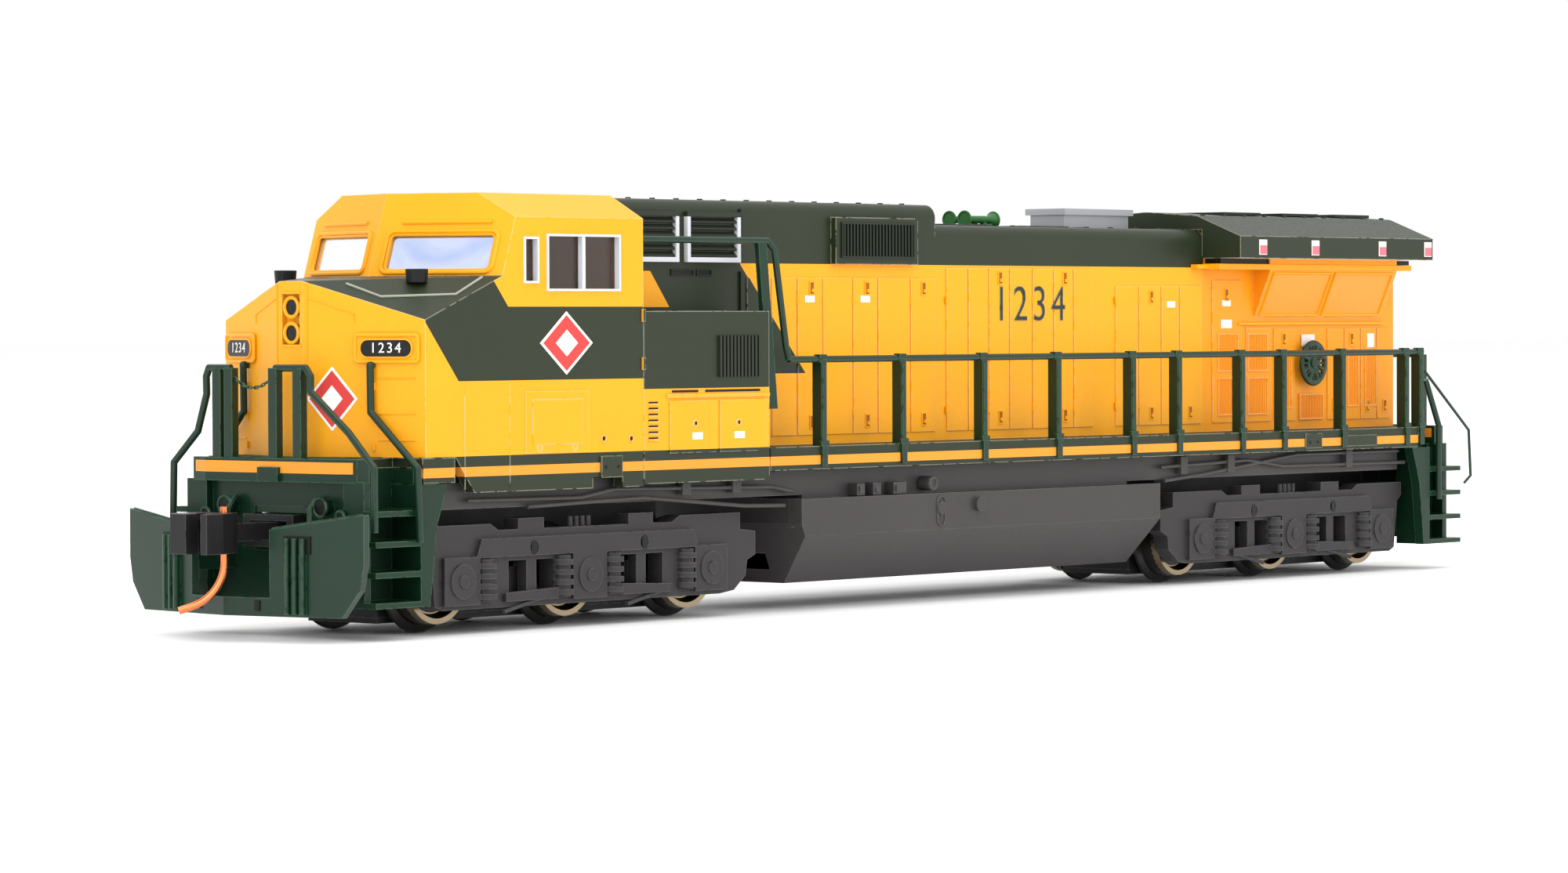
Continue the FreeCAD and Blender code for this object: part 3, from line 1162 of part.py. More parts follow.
def couplers():
    """Shank with head, knuckle and trip pin, drawn at the nose and turned for the rear."""
    low, high = "coupler_height - 1.35", "coupler_height + 1.35"
    shank = box("shank_bar", (-71.6, -62.7), (-0.85, 0.85),
                ("coupler_height - 0.6", "coupler_height + 0.6"))
    head = prism("head_block", "XY", [(-70.2, -1.0), (-70.2, 0.35), (-71.9, 0.35), (-72.6, -0.35),
                                      (-72.9, -1.1),
                                      (-74.1, -1.5), (-74.1, -2.1), (-72.6, -2.1), (-71.2, -1.6)], low,
                 high)
    lug = box("knuckle_lug", (-71.2, -70.0), (-0.4, 2.0), ("coupler_height - 0.5", "coupler_height + 0.5"))
    hinge_pin = rod("knuckle_pin", (-71.3, 1.35, low), "z", 0.3, 2.7)
    lug_arm = box("lug_arm", (-71.5, -70.4), (1.0, 1.7), ("coupler_height - 0.5", "coupler_height + 0.5"))
    eye = rod("shank_eye", ("-coupler_pivot", 0, "coupler_height - 1"), "z", 0.56, 2)
    pin_seat = rod("trip_seat", (-70.75, -0.3, "coupler_height - 2"), "z", 0.28, 4)
    coupler = cut("coupler_form", fuse("coupler_solid", [shank, head, lug, lug_arm, hinge_pin]),
                  [eye, pin_seat])
    jaw = prism("knuckle_jaw", "XY", [("-coupler_face", -0.3), ("-coupler_face", 1.2), (-73.2, 2.1),
                                      (-70.6, 2.1),
                                      (-70.6, 0.6), (-72.2, 0.6), (-72.9, 0.4), (-73.1, -0.3)], low, high)
    pin_hole = rod("jaw_hole", (-71.3, 1.35, "coupler_height - 2"), "z", 0.36, 4)
    lug_room = box("jaw_room", (-72.1, -69.5), (-0.5, 2.5),
                   ("coupler_height - 0.6", "coupler_height + 0.6"))
    knuckle = cut("knuckle_form", jaw, [pin_hole, lug_room])
    trip = trip_pin_form()
    for end, turn in (("front", 0), ("rear", 180)):
        for piece, form in (("coupler", coupler), ("knuckle", knuckle), ("trip_pin", trip)):
            label = "%s_%s" % (end, piece)
            keep(place(group(label, [form]), 0, turn=turn), label)


def trip_pin_form():
    """Round wire through the head that bends down and to the side."""
    radius, bend = 0.27, 3.2
    start = FreeCAD.Vector(-70.75, -0.3, value("coupler_height") + 1.75)
    knee = FreeCAD.Vector(-70.75, -0.3, 5.4)
    direction = FreeCAD.Vector(-0.72, 0.69, 0).normalize()
    slant = math.radians(72)

    def on_bend(angle):
        drop = FreeCAD.Vector(0, 0, bend * math.sin(angle))
        return knee + direction * bend * (1 - math.cos(angle)) - drop

    middle, tip = on_bend(slant / 2), on_bend(slant)
    heading = direction * math.sin(slant) - FreeCAD.Vector(0, 0, math.cos(slant))
    path = Part.Wire([Part.LineSegment(start, knee).toShape(), Part.Arc(knee, middle, tip).toShape(),
                      Part.LineSegment(tip, tip + heading * 0.9).toShape()])
    ring = Part.Wire([Part.makeCircle(radius, start, FreeCAD.Vector(0, 0, -1))])
    feature = doc.addObject("Part::Feature", "trip_form")
    feature.Shape = path.makePipeShell([ring], True, False)
    return feature


def export():
    doc.recompute()
    for item in doc.Objects:
        if "Invalid" in item.State or "Error" in item.State:
            raise RuntimeError("%s did not compute: %s" % (item.Name, item.State))
    for node in nodes:
        if node.Shape.isNull() or not node.Shape.isValid() or not node.Shape.Solids:
            raise RuntimeError("%s has no valid solid" % node.Label)
    os.makedirs("parts", exist_ok=True)
    for node in nodes:
        node.Shape.exportStep("parts/%s.step" % node.Label)
        print(node.Label, len(node.Shape.Solids), round(node.Shape.Volume, 2))
    print(len(nodes), "sub-parts")


fill_sheet()
cab_shell()
window_glass()
window_frames()
headlights()
number_boards()
hood_shell()
radiator_roof()
intake_grilles()
horns()
exhaust_stack()
brake_wheel()
walkway()
front_pilot()
rear_pilot()
side_handrails()
end_handrails()
snow_plow()
fuel_tank()
frames()
frame_screws()
motor_case()
motor_rotor()
flywheels()
worm_shafts()
worm_bearings()
light_board()
contact_strips()
trucks()
coupler_boxes()
couplers()
export()
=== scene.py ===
import math
import bmesh
import bpy
from mathutils import Matrix, Vector


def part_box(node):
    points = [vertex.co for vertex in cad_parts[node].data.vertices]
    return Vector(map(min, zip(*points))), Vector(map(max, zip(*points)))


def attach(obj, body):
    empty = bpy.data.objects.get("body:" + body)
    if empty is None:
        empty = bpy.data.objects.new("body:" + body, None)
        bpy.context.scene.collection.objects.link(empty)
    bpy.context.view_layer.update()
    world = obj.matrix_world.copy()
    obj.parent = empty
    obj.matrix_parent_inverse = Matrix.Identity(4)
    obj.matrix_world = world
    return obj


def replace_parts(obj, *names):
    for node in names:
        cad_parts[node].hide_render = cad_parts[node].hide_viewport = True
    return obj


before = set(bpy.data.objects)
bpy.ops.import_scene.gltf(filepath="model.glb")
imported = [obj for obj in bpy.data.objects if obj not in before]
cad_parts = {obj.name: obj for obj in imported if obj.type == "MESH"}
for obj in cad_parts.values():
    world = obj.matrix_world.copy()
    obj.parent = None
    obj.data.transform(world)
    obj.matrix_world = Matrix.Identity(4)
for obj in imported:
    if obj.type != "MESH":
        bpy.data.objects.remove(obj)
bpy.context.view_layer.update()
milli = 0.001  # sizes below are in millimetres
print("frame loaded:", len(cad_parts), "nodes")


def tint(*levels):
    linear = [((c / 255 + 0.055) / 1.055) ** 2.4 if c > 10 else c / 3294.6 for c in levels]
    return tuple(linear) + (1.0,)


palette = {
    "yellow": tint(236, 160, 12),
    "deepYellow": tint(236, 142, 18),
    "stripe": tint(232, 146, 40),
    "green": tint(35, 43, 26),
    "railGreen": tint(14, 42, 27),
    "softBlack": tint(50, 48, 49),
    "silver": tint(205, 207, 212),
}

# camera, floor and light

viewSettings = {
    "place": (-0.315733, -0.256552, 0.021428),
    "direction": (0.76383, 0.645033, -0.022269),
    "roll": -0.19,
    "lens": 120.74,
    "shift": (-0.0016, 0.0005),
}


def makeCamera(settings):
    data = bpy.data.cameras.new("viewCamera")
    data.lens = settings["lens"]
    data.sensor_width = 36
    data.clip_start = 0.01
    data.clip_end = 20
    data.shift_x, data.shift_y = settings["shift"]
    camera = bpy.data.objects.new("viewCamera", data)
    turn = Vector(settings["direction"]).to_track_quat("-Z", "Y").to_matrix().to_4x4()
    roll = Matrix.Rotation(math.radians(settings["roll"]), 4, "Z")
    camera.matrix_world = Matrix.Translation(settings["place"]) @ turn @ roll
    bpy.context.scene.collection.objects.link(camera)
    bpy.context.scene.camera = camera


studio = {
    "worldStrength": 1.0,
    "aim": (0, 0, 0.015),              # every lamp points here
    "floorColour": (0.99, 0.99, 0.99, 1),
    "lamps": [
        {"name": "overhead", "place": (-0.1, -0.15, 0.75), "size": 0.9, "energy": 4.2},
        {"name": "frontBox", "place": (-0.75, -0.25, 0.28), "size": 0.5, "energy": 1.9},
        {"name": "sideBox", "place": (0.1, -0.8, 0.35), "size": 0.6, "energy": 2.2},
        {"name": "backBox", "place": (0.35, 0.6, 0.5), "size": 0.6, "energy": 0.8},
    ],
}


def makeStudio(settings):
    world = bpy.data.worlds.new("paleStudio")
    world.use_nodes = True
    world.node_tree.nodes["Background"].inputs["Color"].default_value = (1, 1, 1, 1)
    world.node_tree.nodes["Background"].inputs["Strength"].default_value = settings["worldStrength"]
    bpy.context.scene.world = world
    mesh = bpy.data.meshes.new("floor")
    mesh.from_pydata([(-4, -4, 0), (4, -4, 0), (4, 4, 0), (-4, 4, 0)], [], [(0, 1, 2, 3)])
    floor = bpy.data.objects.new("floor", mesh)
    bpy.context.scene.collection.objects.link(floor)
    material = bpy.data.materials.new("palePaper")
    material.use_nodes = True
    shader = material.node_tree.nodes["Principled BSDF"]
    shader.inputs["Base Color"].default_value = settings["floorColour"]
    shader.inputs["Roughness"].default_value = 0.55
    shader.inputs["Specular IOR Level"].default_value = 0.25
    mesh.materials.append(material)
    for lamp in settings["lamps"]:
        data = bpy.data.lights.new(lamp["name"], "AREA")
        data.size = lamp["size"]
        data.energy = lamp["energy"]
        light = bpy.data.objects.new(lamp["name"], data)
        aim = Vector(settings["aim"]) - Vector(lamp["place"])
        turn = aim.to_track_quat("-Z", "Y").to_matrix().to_4x4()
        light.matrix_world = Matrix.Translation(lamp["place"]) @ turn
        bpy.context.scene.collection.objects.link(light)


bpy.context.scene.view_settings.view_transform = "Standard"
makeCamera(viewSettings)
makeStudio(studio)
print("camera and studio ready")

# small helpers for shader trees


def feed(tree, value, socket):
    if isinstance(value, bpy.types.NodeSocket):
        tree.links.new(value, socket)
    else:
        socket.default_value = value


def addNode(tree, kind, inputs=None, **settings):
    node = tree.nodes.new("ShaderNode" + kind)
    for name, setting in settings.items():
        setattr(node, name, setting)
    for name, value in (inputs or {}).items():
        feed(tree, value, node.inputs[name])
    return node


def calc(tree, operation, *values):
    node = addNode(tree, "Math", operation=operation)
    for value, socket in zip(values, node.inputs):
        feed(tree, value, socket)
    return node.outputs[0]


def mixColours(tree, share, first, second):
    node = addNode(tree, "Mix", data_type="RGBA")
    feed(tree, share, node.inputs[0])
    feed(tree, first, node.inputs[6])
    feed(tree, second, node.inputs[7])
    return node.outputs[2]


def above(tree, value, limit):
    return calc(tree, "GREATER_THAN", value, limit)


def below(tree, value, limit):
    return calc(tree, "LESS_THAN", value, limit)


def extent(tree, value):
    return calc(tree, "ABSOLUTE", value)


def between(tree, value, low, high):
    return calc(tree, "MULTIPLY", above(tree, value, low), below(tree, value, high))


def combine(tree, operation, values):
    result = values[0]
    for value in values[1:]:
        result = calc(tree, operation, result, value)
    return result


def allOf(tree, *masks):
    return combine(tree, "MULTIPLY", masks)


def anyOf(tree, *masks):
    return combine(tree, "MAXIMUM", masks)


def objectPlace(tree):
    return addNode(tree, "TexCoord").outputs["Object"]


def splitUp(tree, vector):
    split = addNode(tree, "SeparateXYZ")
    feed(tree, vector, split.inputs[0])
    return split.outputs


def leftOf(tree, across, up, start, end):
    runX, runZ = end[0] - start[0], end[1] - start[1]
    offset = runZ * start[0] - runX * start[1]
    part = calc(tree, "MULTIPLY_ADD", across, -runZ, offset)
    return above(tree, calc(tree, "MULTIPLY_ADD", up, runX, part), 0.0)


def placeInMilli(tree):
    scaled = addNode(tree, "VectorMath", operation="SCALE")
    feed(tree, objectPlace(tree), scaled.inputs[0])
    scaled.inputs["Scale"].default_value = 1 / milli
    return splitUp(tree, scaled.outputs[0])


def facing(tree):
    return splitUp(tree, addNode(tree, "NewGeometry").outputs["True Normal"])


# shared effects


paleGrey = (0.8, 0.8, 0.8, 1)


def startGroup(name, inputs, outputs):
    tree = bpy.data.node_groups.new(name, "ShaderNodeTree")
    for label, kind, start in inputs:
        socket = tree.interface.new_socket(name=label, in_out="INPUT", socket_type="NodeSocket" + kind)
        socket.default_value = start
    for label, kind in outputs:
        tree.interface.new_socket(name=label, in_out="OUTPUT", socket_type="NodeSocket" + kind)
    given = tree.nodes.new("NodeGroupInput").outputs
    return tree, given, tree.nodes.new("NodeGroupOutput").inputs


def makeGrainGroup():
    tree, given, out = startGroup("surfaceGrain", [
        ("Colour", "Color", paleGrey), ("Variation", "Float", 0.1), ("Roughness", "Float", 0.4),
        ("Scale", "Float", 900.0), ("Bump", "Float", 0.1)],
        [("Colour", "Color"), ("Roughness", "Float"), ("Normal", "Vector")])
    place = objectPlace(tree)
    cloud = addNode(tree, "TexNoise", {"Vector": place, "Scale": 160.0, "Detail": 3.0})
    grain = addNode(tree, "TexNoise", {
        "Vector": place, "Scale": given["Scale"], "Detail": 4.0, "Roughness": 0.65})
    both = calc(tree, "ADD", cloud.outputs[0], grain.outputs[0])
    swing = calc(tree, "MULTIPLY", calc(tree, "SUBTRACT", both, 1.0), given["Variation"])
    bright = calc(tree, "ADD", swing, 1.0)
    shaded = addNode(tree, "HueSaturation", {"Color": given["Colour"], "Value": bright})
    feed(tree, shaded.outputs[0], out["Colour"])
    offset = calc(tree, "SUBTRACT", grain.outputs[0], 0.5)
    feed(tree, calc(tree, "MULTIPLY_ADD", offset, 0.25, given["Roughness"]), out["Roughness"])
    bump = addNode(tree, "Bump", {"Strength": given["Bump"], "Distance": 0.00004, "Height": grain.outputs[0]})
    feed(tree, bump.outputs[0], out["Normal"])
    return tree


def makeSpeckGroup():
    tree, given, out = startGroup("dustSpecks", [
        ("Colour", "Color", paleGrey), ("Dust", "Color", (0.9, 0.9, 0.88, 1)),
        ("Amount", "Float", 0.5)], [("Colour", "Color")])
    place = objectPlace(tree)
    spots = addNode(tree, "TexVoronoi", {"Vector": place, "Scale": 700.0})
    patches = addNode(tree, "TexNoise", {"Vector": place, "Scale": 420.0, "Detail": 2.0})
    near = below(tree, spots.outputs["Distance"], 0.1)
    limit = calc(tree, "MULTIPLY_ADD", given["Amount"], -0.2, 0.8)
    chosen = above(tree, patches.outputs[0], limit)
    share = calc(tree, "MULTIPLY", allOf(tree, near, chosen), 0.75)
    feed(tree, mixColours(tree, share, given["Colour"], given["Dust"]), out["Colour"])
    return tree


# pale edges: partly paint wear, partly a painted highlight along rounded edges
def makeWearAndHighlightGroup():
    tree, given, out = startGroup("wornAndHighlitEdges", [
        ("Colour", "Color", paleGrey), ("Worn", "Color", (0.9, 0.9, 0.88, 1)),
        ("Amount", "Float", 0.5), ("Width", "Float", 0.00012)], [("Colour", "Color")])
    place = objectPlace(tree)
    rounded = addNode(tree, "Bevel", {"Radius": given["Width"]}, samples=4)
    flat = addNode(tree, "NewGeometry").outputs["Normal"]
    product = addNode(tree, "VectorMath", operation="DOT_PRODUCT")
    feed(tree, rounded.outputs[0], product.inputs[0])
    feed(tree, flat, product.inputs[1])
    edge = calc(tree, "MULTIPLY", calc(tree, "SUBTRACT", 1.0, product.outputs["Value"]), 6.0)
    broken = addNode(tree, "TexNoise", {"Vector": place, "Scale": 1500.0, "Detail": 3.0})
    edge = calc(tree, "MINIMUM", edge, 1.0)
    share = allOf(tree, edge, above(tree, broken.outputs[0], 0.42), given["Amount"])
    feed(tree, mixColours(tree, share, given["Colour"], given["Worn"]), out["Colour"])
    return tree


effects = {"grain": makeGrainGroup(), "specks": makeSpeckGroup(), "wearAndHighlight": makeWearAndHighlightGroup()}


def useEffect(tree, effect, **inputs):
    node = addNode(tree, "Group", node_tree=effects[effect])
    for name, value in inputs.items():
        feed(tree, value, node.inputs[name])
    return node.outputs


def newMaterial(name):
    material = bpy.data.materials.new(name)
    material.use_nodes = True
    return material, material.node_tree, material.node_tree.nodes["Principled BSDF"].inputs


grainSockets = {"Base Color": "Colour", "Roughness": "Roughness", "Normal": "Normal"}


def feedGrain(tree, shader, colour, sockets, **amounts):
    grain = useEffect(tree, "grain", Colour=colour, **amounts)
    for socket in sockets:
        feed(tree, grain[grainSockets[socket]], shader[socket])


def finishPaint(name, painter, look):
    material, tree, shader = newMaterial(name)
    colour = painter(tree) if callable(painter) else painter
    if look.get("specks"):
        colour = useEffect(tree, "specks", Colour=colour, Amount=look["specks"])["Colour"]
    # edges lightened: paint wear and painted highlight
    if look.get("wearAndHighlight"):
        wornAndHighlit = useEffect(tree, "wearAndHighlight", Colour=colour, Worn=look["wearAndHighlightColour"], Amount=look["wearAndHighlight"])
        colour = wornAndHighlit["Colour"]
    feedGrain(tree, shader, colour, grainSockets, Variation=look["variation"],
              Roughness=look["roughness"], Scale=look["grain"], Bump=look["bump"])
    shader["Metallic"].default_value = look.get("metallic", 0.0)
    shader["Specular IOR Level"].default_value = 0.25
    shader["Coat Weight"].default_value = look.get("coat", 0.0)
    shader["Coat Roughness"].default_value = 0.25
    return material


print("shared effects ready")

# the two-colour paint, set out by place on the body

paintLook = {"variation": 0.1, "roughness": 0.42, "grain": 2600.0, "bump": 0.12, "specks": 0.25, "wearAndHighlight": 0.55,
             "wearAndHighlightColour": tint(206, 206, 178), "coat": 0.05}

scheme = {
    "sideBand": (17.36, 22.42),        # green band along the cab, low and high
    "noseSlope": ((-61.0, 21.39), (-57.75, 17.33)),
    "noseTop": {"z": (20.8, 24.56), "end": -52.0},
    "windowSlope": ((-52.83, 22.42), (-54.2, 24.1)),
    "windowGreen": (22.4, 24.45),
    "roofLine": 25.6,                  # hood is green above this
    "hoodSweep": ((-16.72, 17.5), (-24.1, 25.65)),
    "sweepFoot": 17.5,
    "rearCabSweep": ((-31.9, 22.5), (-33.5, 24.5)),
    "rearCabPatch": (22.4, 25.0),
    "cabinet": {"wall": 6.3, "line": 16.6, "greenEnd": -25.2, "end": -20.0},
    "radiator": {"start": 33.9, "share": 0.6},
    # painted shade: deeper orange low on the rear half of the hood, stronger towards the bottom, broken up by
    # noise
    "lowRearShade": {"start": 0.0, "top": 16.5, "colour": tint(226, 150, 44)},
    "stripe": (10.86, 11.52),
    "apronGreen": 12.25,
    "deck": {"edge": 9.2, "end": 61.9, "plain": [(42.7, 45.2), (48.6, 53.4)]},
    "climber": {"x": (64.0, 66.3), "z": (11.2, 11.98), "half": 7.6},
}


def paintCab(tree):
    x, y, z = placeInMilli(tree)
    nx, ny, nz = facing(tree)
    top = scheme["noseTop"]
    onSide = above(tree, extent(tree, ny), 0.9)
    behindNose = leftOf(tree, x, z, *scheme["noseSlope"])
    aheadOfWindow = allOf(
        tree, leftOf(tree, x, z, *scheme["windowSlope"]), between(tree, z, *scheme["windowGreen"]))
    band = between(tree, z, *scheme["sideBand"])
    sideGreen = allOf(tree, onSide, behindNose, anyOf(tree, band, aheadOfWindow))
    noseTop = allOf(tree, above(tree, nz, 0.2), between(tree, z, *top["z"]), below(tree, x, top["end"]))
    green = anyOf(tree, sideGreen, noseTop, below(tree, z, scheme["apronGreen"]))
    colour = mixColours(tree, green, palette["yellow"], palette["green"])
    upright = anyOf(tree, onSide, below(tree, nx, -0.2))
    stripe = allOf(tree, between(tree, z, *scheme["stripe"]), upright)
    return mixColours(tree, stripe, colour, palette["stripe"])


def paintHood(tree):
    x, y, z = placeInMilli(tree)
    cabinet, radiator, lowRearShadeSettings = scheme["cabinet"], scheme["radiator"], scheme["lowRearShade"]
    onCabinet = above(tree, extent(tree, y), cabinet["wall"])
    swept = allOf(tree, leftOf(tree, x, z, *scheme["hoodSweep"]), above(tree, z, scheme["sweepFoot"]))
    patch = allOf(
        tree, leftOf(tree, x, z, *scheme["rearCabSweep"]), between(tree, z, *scheme["rearCabPatch"]))
    green = anyOf(tree, above(tree, z, scheme["roofLine"]), calc(tree, "SUBTRACT", swept, patch))
    hoodMask = allOf(tree, calc(tree, "SUBTRACT", 1.0, onCabinet), allOf(
        tree, below(tree, x, radiator["start"]), green))
    high = allOf(tree, above(tree, z, cabinet["line"]), below(tree, x, cabinet["greenEnd"]))
    ahead = below(tree, x, cabinet["end"])
    cabinetMask = allOf(tree, onCabinet, ahead, anyOf(tree, high, below(tree, z, scheme["apronGreen"])))
    deeper = calc(tree, "MULTIPLY", above(tree, x, radiator["start"] - 0.1), radiator["share"])
    base = mixColours(tree, deeper, palette["yellow"], palette["deepYellow"])
    # painted shade darkening the lower rear hood towards the bottom
    shadeBlotches = addNode(tree, "TexNoise", {"Vector": objectPlace(tree), "Scale": 70.0, "Detail": 3.0})
    lowRearShade = allOf(tree, above(tree, x, lowRearShadeSettings["start"]), below(tree, z, lowRearShadeSettings["top"]), shadeBlotches.outputs[0])
    depth = calc(tree, "MULTIPLY", calc(tree, "MULTIPLY_ADD", z, -0.25, 4.1), 0.4)
    share = calc(tree, "MULTIPLY", lowRearShade, calc(tree, "MINIMUM", depth, 0.6))
    base = mixColours(tree, share, base, lowRearShadeSettings["colour"])
    colour = mixColours(tree, anyOf(tree, cabinetMask, hoodMask), base, palette["green"])
    stripe = allOf(tree, between(tree, z, *scheme["stripe"]), onCabinet, ahead)
    return mixColours(tree, stripe, colour, palette["stripe"])


def paintWing(tree):
    x, y, z = placeInMilli(tree)
    nx, ny, nz = facing(tree)
    under = allOf(tree, below(tree, nz, -0.3), above(tree, extent(tree, y), 6.0))
    return mixColours(tree, under, palette["green"], tint(232, 214, 176))


def paintDeck(tree):
    x, y, z = placeInMilli(tree)
    nx, ny, nz = facing(tree)
    deck = scheme["deck"]
    stripe = allOf(tree, below(tree, extent(tree, nz), 0.4), above(tree, extent(tree, y), deck["edge"]),
                   between(tree, z, *scheme["stripe"]), below(tree, x, deck["end"]))
    plain = anyOf(tree, *[between(tree, x, *span) for span in deck["plain"]])
    stripe = calc(tree, "MULTIPLY", stripe, calc(tree, "SUBTRACT", 1.0, plain))
    return mixColours(tree, stripe, palette["green"], palette["stripe"])


def paintPilot(tree):
    x, y, z = placeInMilli(tree)
    nx, ny, nz = facing(tree)
    away, band = extent(tree, y), scheme["climber"]
    climber = allOf(tree, between(tree, extent(tree, x), *band["x"]), between(tree, z, *band["z"]),
                    above(tree, extent(tree, nx), 0.25), below(tree, away, band["half"]))
    sides = allOf(tree, above(tree, away, scheme["deck"]["edge"]), between(tree, z, *scheme["stripe"]),
                  above(tree, extent(tree, ny), 0.8))
    return mixColours(tree, anyOf(tree, climber, sides), palette["railGreen"], palette["stripe"])


grilleBays = {
    "frames": [(-37.0, -31.1), (-30.2, -24.3)],
    "heights": (25.65, 29.3),
    "foot": 25.0,
    "rim": 0.36,
}


def paintGrille(tree):
    x, y, z = placeInMilli(tree)
    rim, (low, high) = grilleBays["rim"], grilleBays["heights"]
    edges = [below(tree, z, low + rim)]
    for start, end in grilleBays["frames"]:
        edges.append(between(tree, x, start - 0.1, start + rim))
        edges.append(between(tree, x, end - rim, end + 0.1))
    bright = allOf(tree, anyOf(tree, *edges), below(tree, z, high - rim), above(tree, z, grilleBays["foot"]))
    return mixColours(tree, bright, tint(34, 40, 30), palette["silver"])


plainLook = {"variation": 0.1, "roughness": 0.42, "grain": 2600.0, "bump": 0.12, "coat": 0.05}
darkLook = {"variation": 0.25, "roughness": 0.42, "grain": 2200.0, "bump": 0.2, "specks": 0.1, "wearAndHighlight": 0.35,
            "wearAndHighlightColour": tint(120, 122, 118)}
metalLook = {"variation": 0.12, "roughness": 0.32, "grain": 3000.0, "bump": 0.12, "metallic": 1.0}

# each finish: its colour or painter, the look it starts from, and what differs
finishes = {
    "cabPaint": (paintCab, paintLook, {}),
    "hoodPaint": (paintHood, paintLook, {}),
    "wingPaint": (paintWing, paintLook, {}),
    "deckPaint": (paintDeck, paintLook, {"roughness": 0.5}),
    "pilotPaint": (paintPilot, paintLook, {"wearAndHighlightColour": tint(70, 130, 86), "roughness": 0.36}),
    "greenPaint": (palette["green"], paintLook, {}),
    "railGreen": (palette["railGreen"], paintLook, {
        "wearAndHighlight": 0.5, "wearAndHighlightColour": tint(78, 128, 92), "specks": 0.12, "roughness": 0.34, "coat": 0.2}),
    "grillePaint": (paintGrille, plainLook, {"specks": 0.1}),
    "trimGreen": (tint(26, 34, 22), plainLook, {"specks": 0.1}),
    "yellowPaint": (palette["yellow"], plainLook, {}),
    "screenPaint": (tint(240, 150, 36), plainLook, {"bump": 0.6}),
    "hornGreen": (tint(40, 96, 44), plainLook, {}),
    "latchShadow": (tint(150, 84, 12), plainLook, {}),
    "emblemRed": (tint(206, 62, 58), plainLook, {}),
    "emblemWhite": (tint(238, 236, 232), plainLook, {}),
    # pale rib colour: painted highlight and edge wear on the green nose ribs
    "ribHighlightAndWear": (tint(150, 154, 138), plainLook, {}),
    "reflector": (tint(232, 110, 122), plainLook, {"roughness": 0.2}),
    "silverTrim": (palette["silver"], plainLook, {
        "roughness": 0.36, "grain": 2800.0, "bump": 0.15, "coat": 0.0}),
    "tankBlack": (tint(60, 57, 57), darkLook, {}),
    "gearboxBlack": (tint(40, 40, 42), darkLook, {}),
    # near-black painted shade for slots, holes, gaps and openings; the nose bells and bracket bolts share it
    "blackAndShade": (tint(12, 13, 12), darkLook, {"wearAndHighlight": 0.0}),
    "truckGrey": (palette["softBlack"], darkLook, {"roughness": 0.5, "specks": 0.2}),
    "couplerBlack": (tint(28, 27, 29), darkLook, {"roughness": 0.35, "specks": 0.0}),
    "boardBlack": (tint(24, 24, 26), darkLook, {"roughness": 0.2, "wearAndHighlight": 0.0}),
    "boardGreen": (tint(26, 92, 56), darkLook, {"roughness": 0.3, "wearAndHighlight": 0.0}),
    "gearNylon": (tint(222, 216, 198), darkLook, {"roughness": 0.45, "wearAndHighlight": 0.0, "variation": 0.08}),
    "label": (tint(236, 226, 222), darkLook, {"variation": 0.12, "roughness": 0.5, "wearAndHighlight": 0.0}),
    "stackSilver": (tint(168, 170, 174), metalLook, {"metallic": 0.6, "roughness": 0.4}),
    "castMetal": (tint(150, 150, 152), metalLook, {"roughness": 0.5}),
    "steel": (tint(190, 190, 192), metalLook, {}),
    "motorCan": (tint(172, 174, 176), metalLook, {"roughness": 0.28}),
    "brass": (tint(214, 172, 92), metalLook, {}),
    "bronze": (tint(186, 128, 78), metalLook, {}),
    "copper": (tint(232, 132, 84), metalLook, {"roughness": 0.25}),
}
materials = {name: finishPaint(name, painter, look | changes)
             for name, (painter, look, changes) in finishes.items()}


def makeWheelMaterial():
    material, tree, shader = newMaterial("wheelMetal")
    x, y, z = placeInMilli(tree)
    gaps = []
    for end in ("front", "rear"):
        for axle in (1, 2, 3):
            low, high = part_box("%s_wheels_%d" % (end, axle))
            gaps.append(extent(tree, calc(tree, "SUBTRACT", x, (low.x + high.x) / 2 / milli)))
    across = combine(tree, "MINIMUM", gaps)
    up = calc(tree, "SUBTRACT", z, (low.z + high.z) / 2 / milli)
    squares = [calc(tree, "MULTIPLY", part, part) for part in (across, up)]
    away = calc(tree, "SQRT", calc(tree, "ADD", *squares))
    bright = anyOf(tree, between(tree, away, 2.2, 3.02), below(tree, away, 0.85))  # tyre and hub
    colour = mixColours(tree, bright, tint(40, 38, 37), tint(158, 142, 116))
    feedGrain(tree, shader, colour, grainSockets,
              Variation=0.25, Roughness=0.3, Scale=2000.0, Bump=0.2)
    feed(tree, calc(tree, "MULTIPLY_ADD", bright, 0.5, 0.5), shader["Metallic"])
    return material


def makeGlass(name, colour, roughness):
    material, tree, shader = newMaterial(name)
    feedGrain(tree, shader, colour, ("Base Color", "Normal"),
              Variation=0.06, Roughness=roughness, Scale=600.0, Bump=0.02)
    shader["Roughness"].default_value = roughness
    shader["Transmission Weight"].default_value = 1.0
    shader["IOR"].default_value = 1.49
    return material


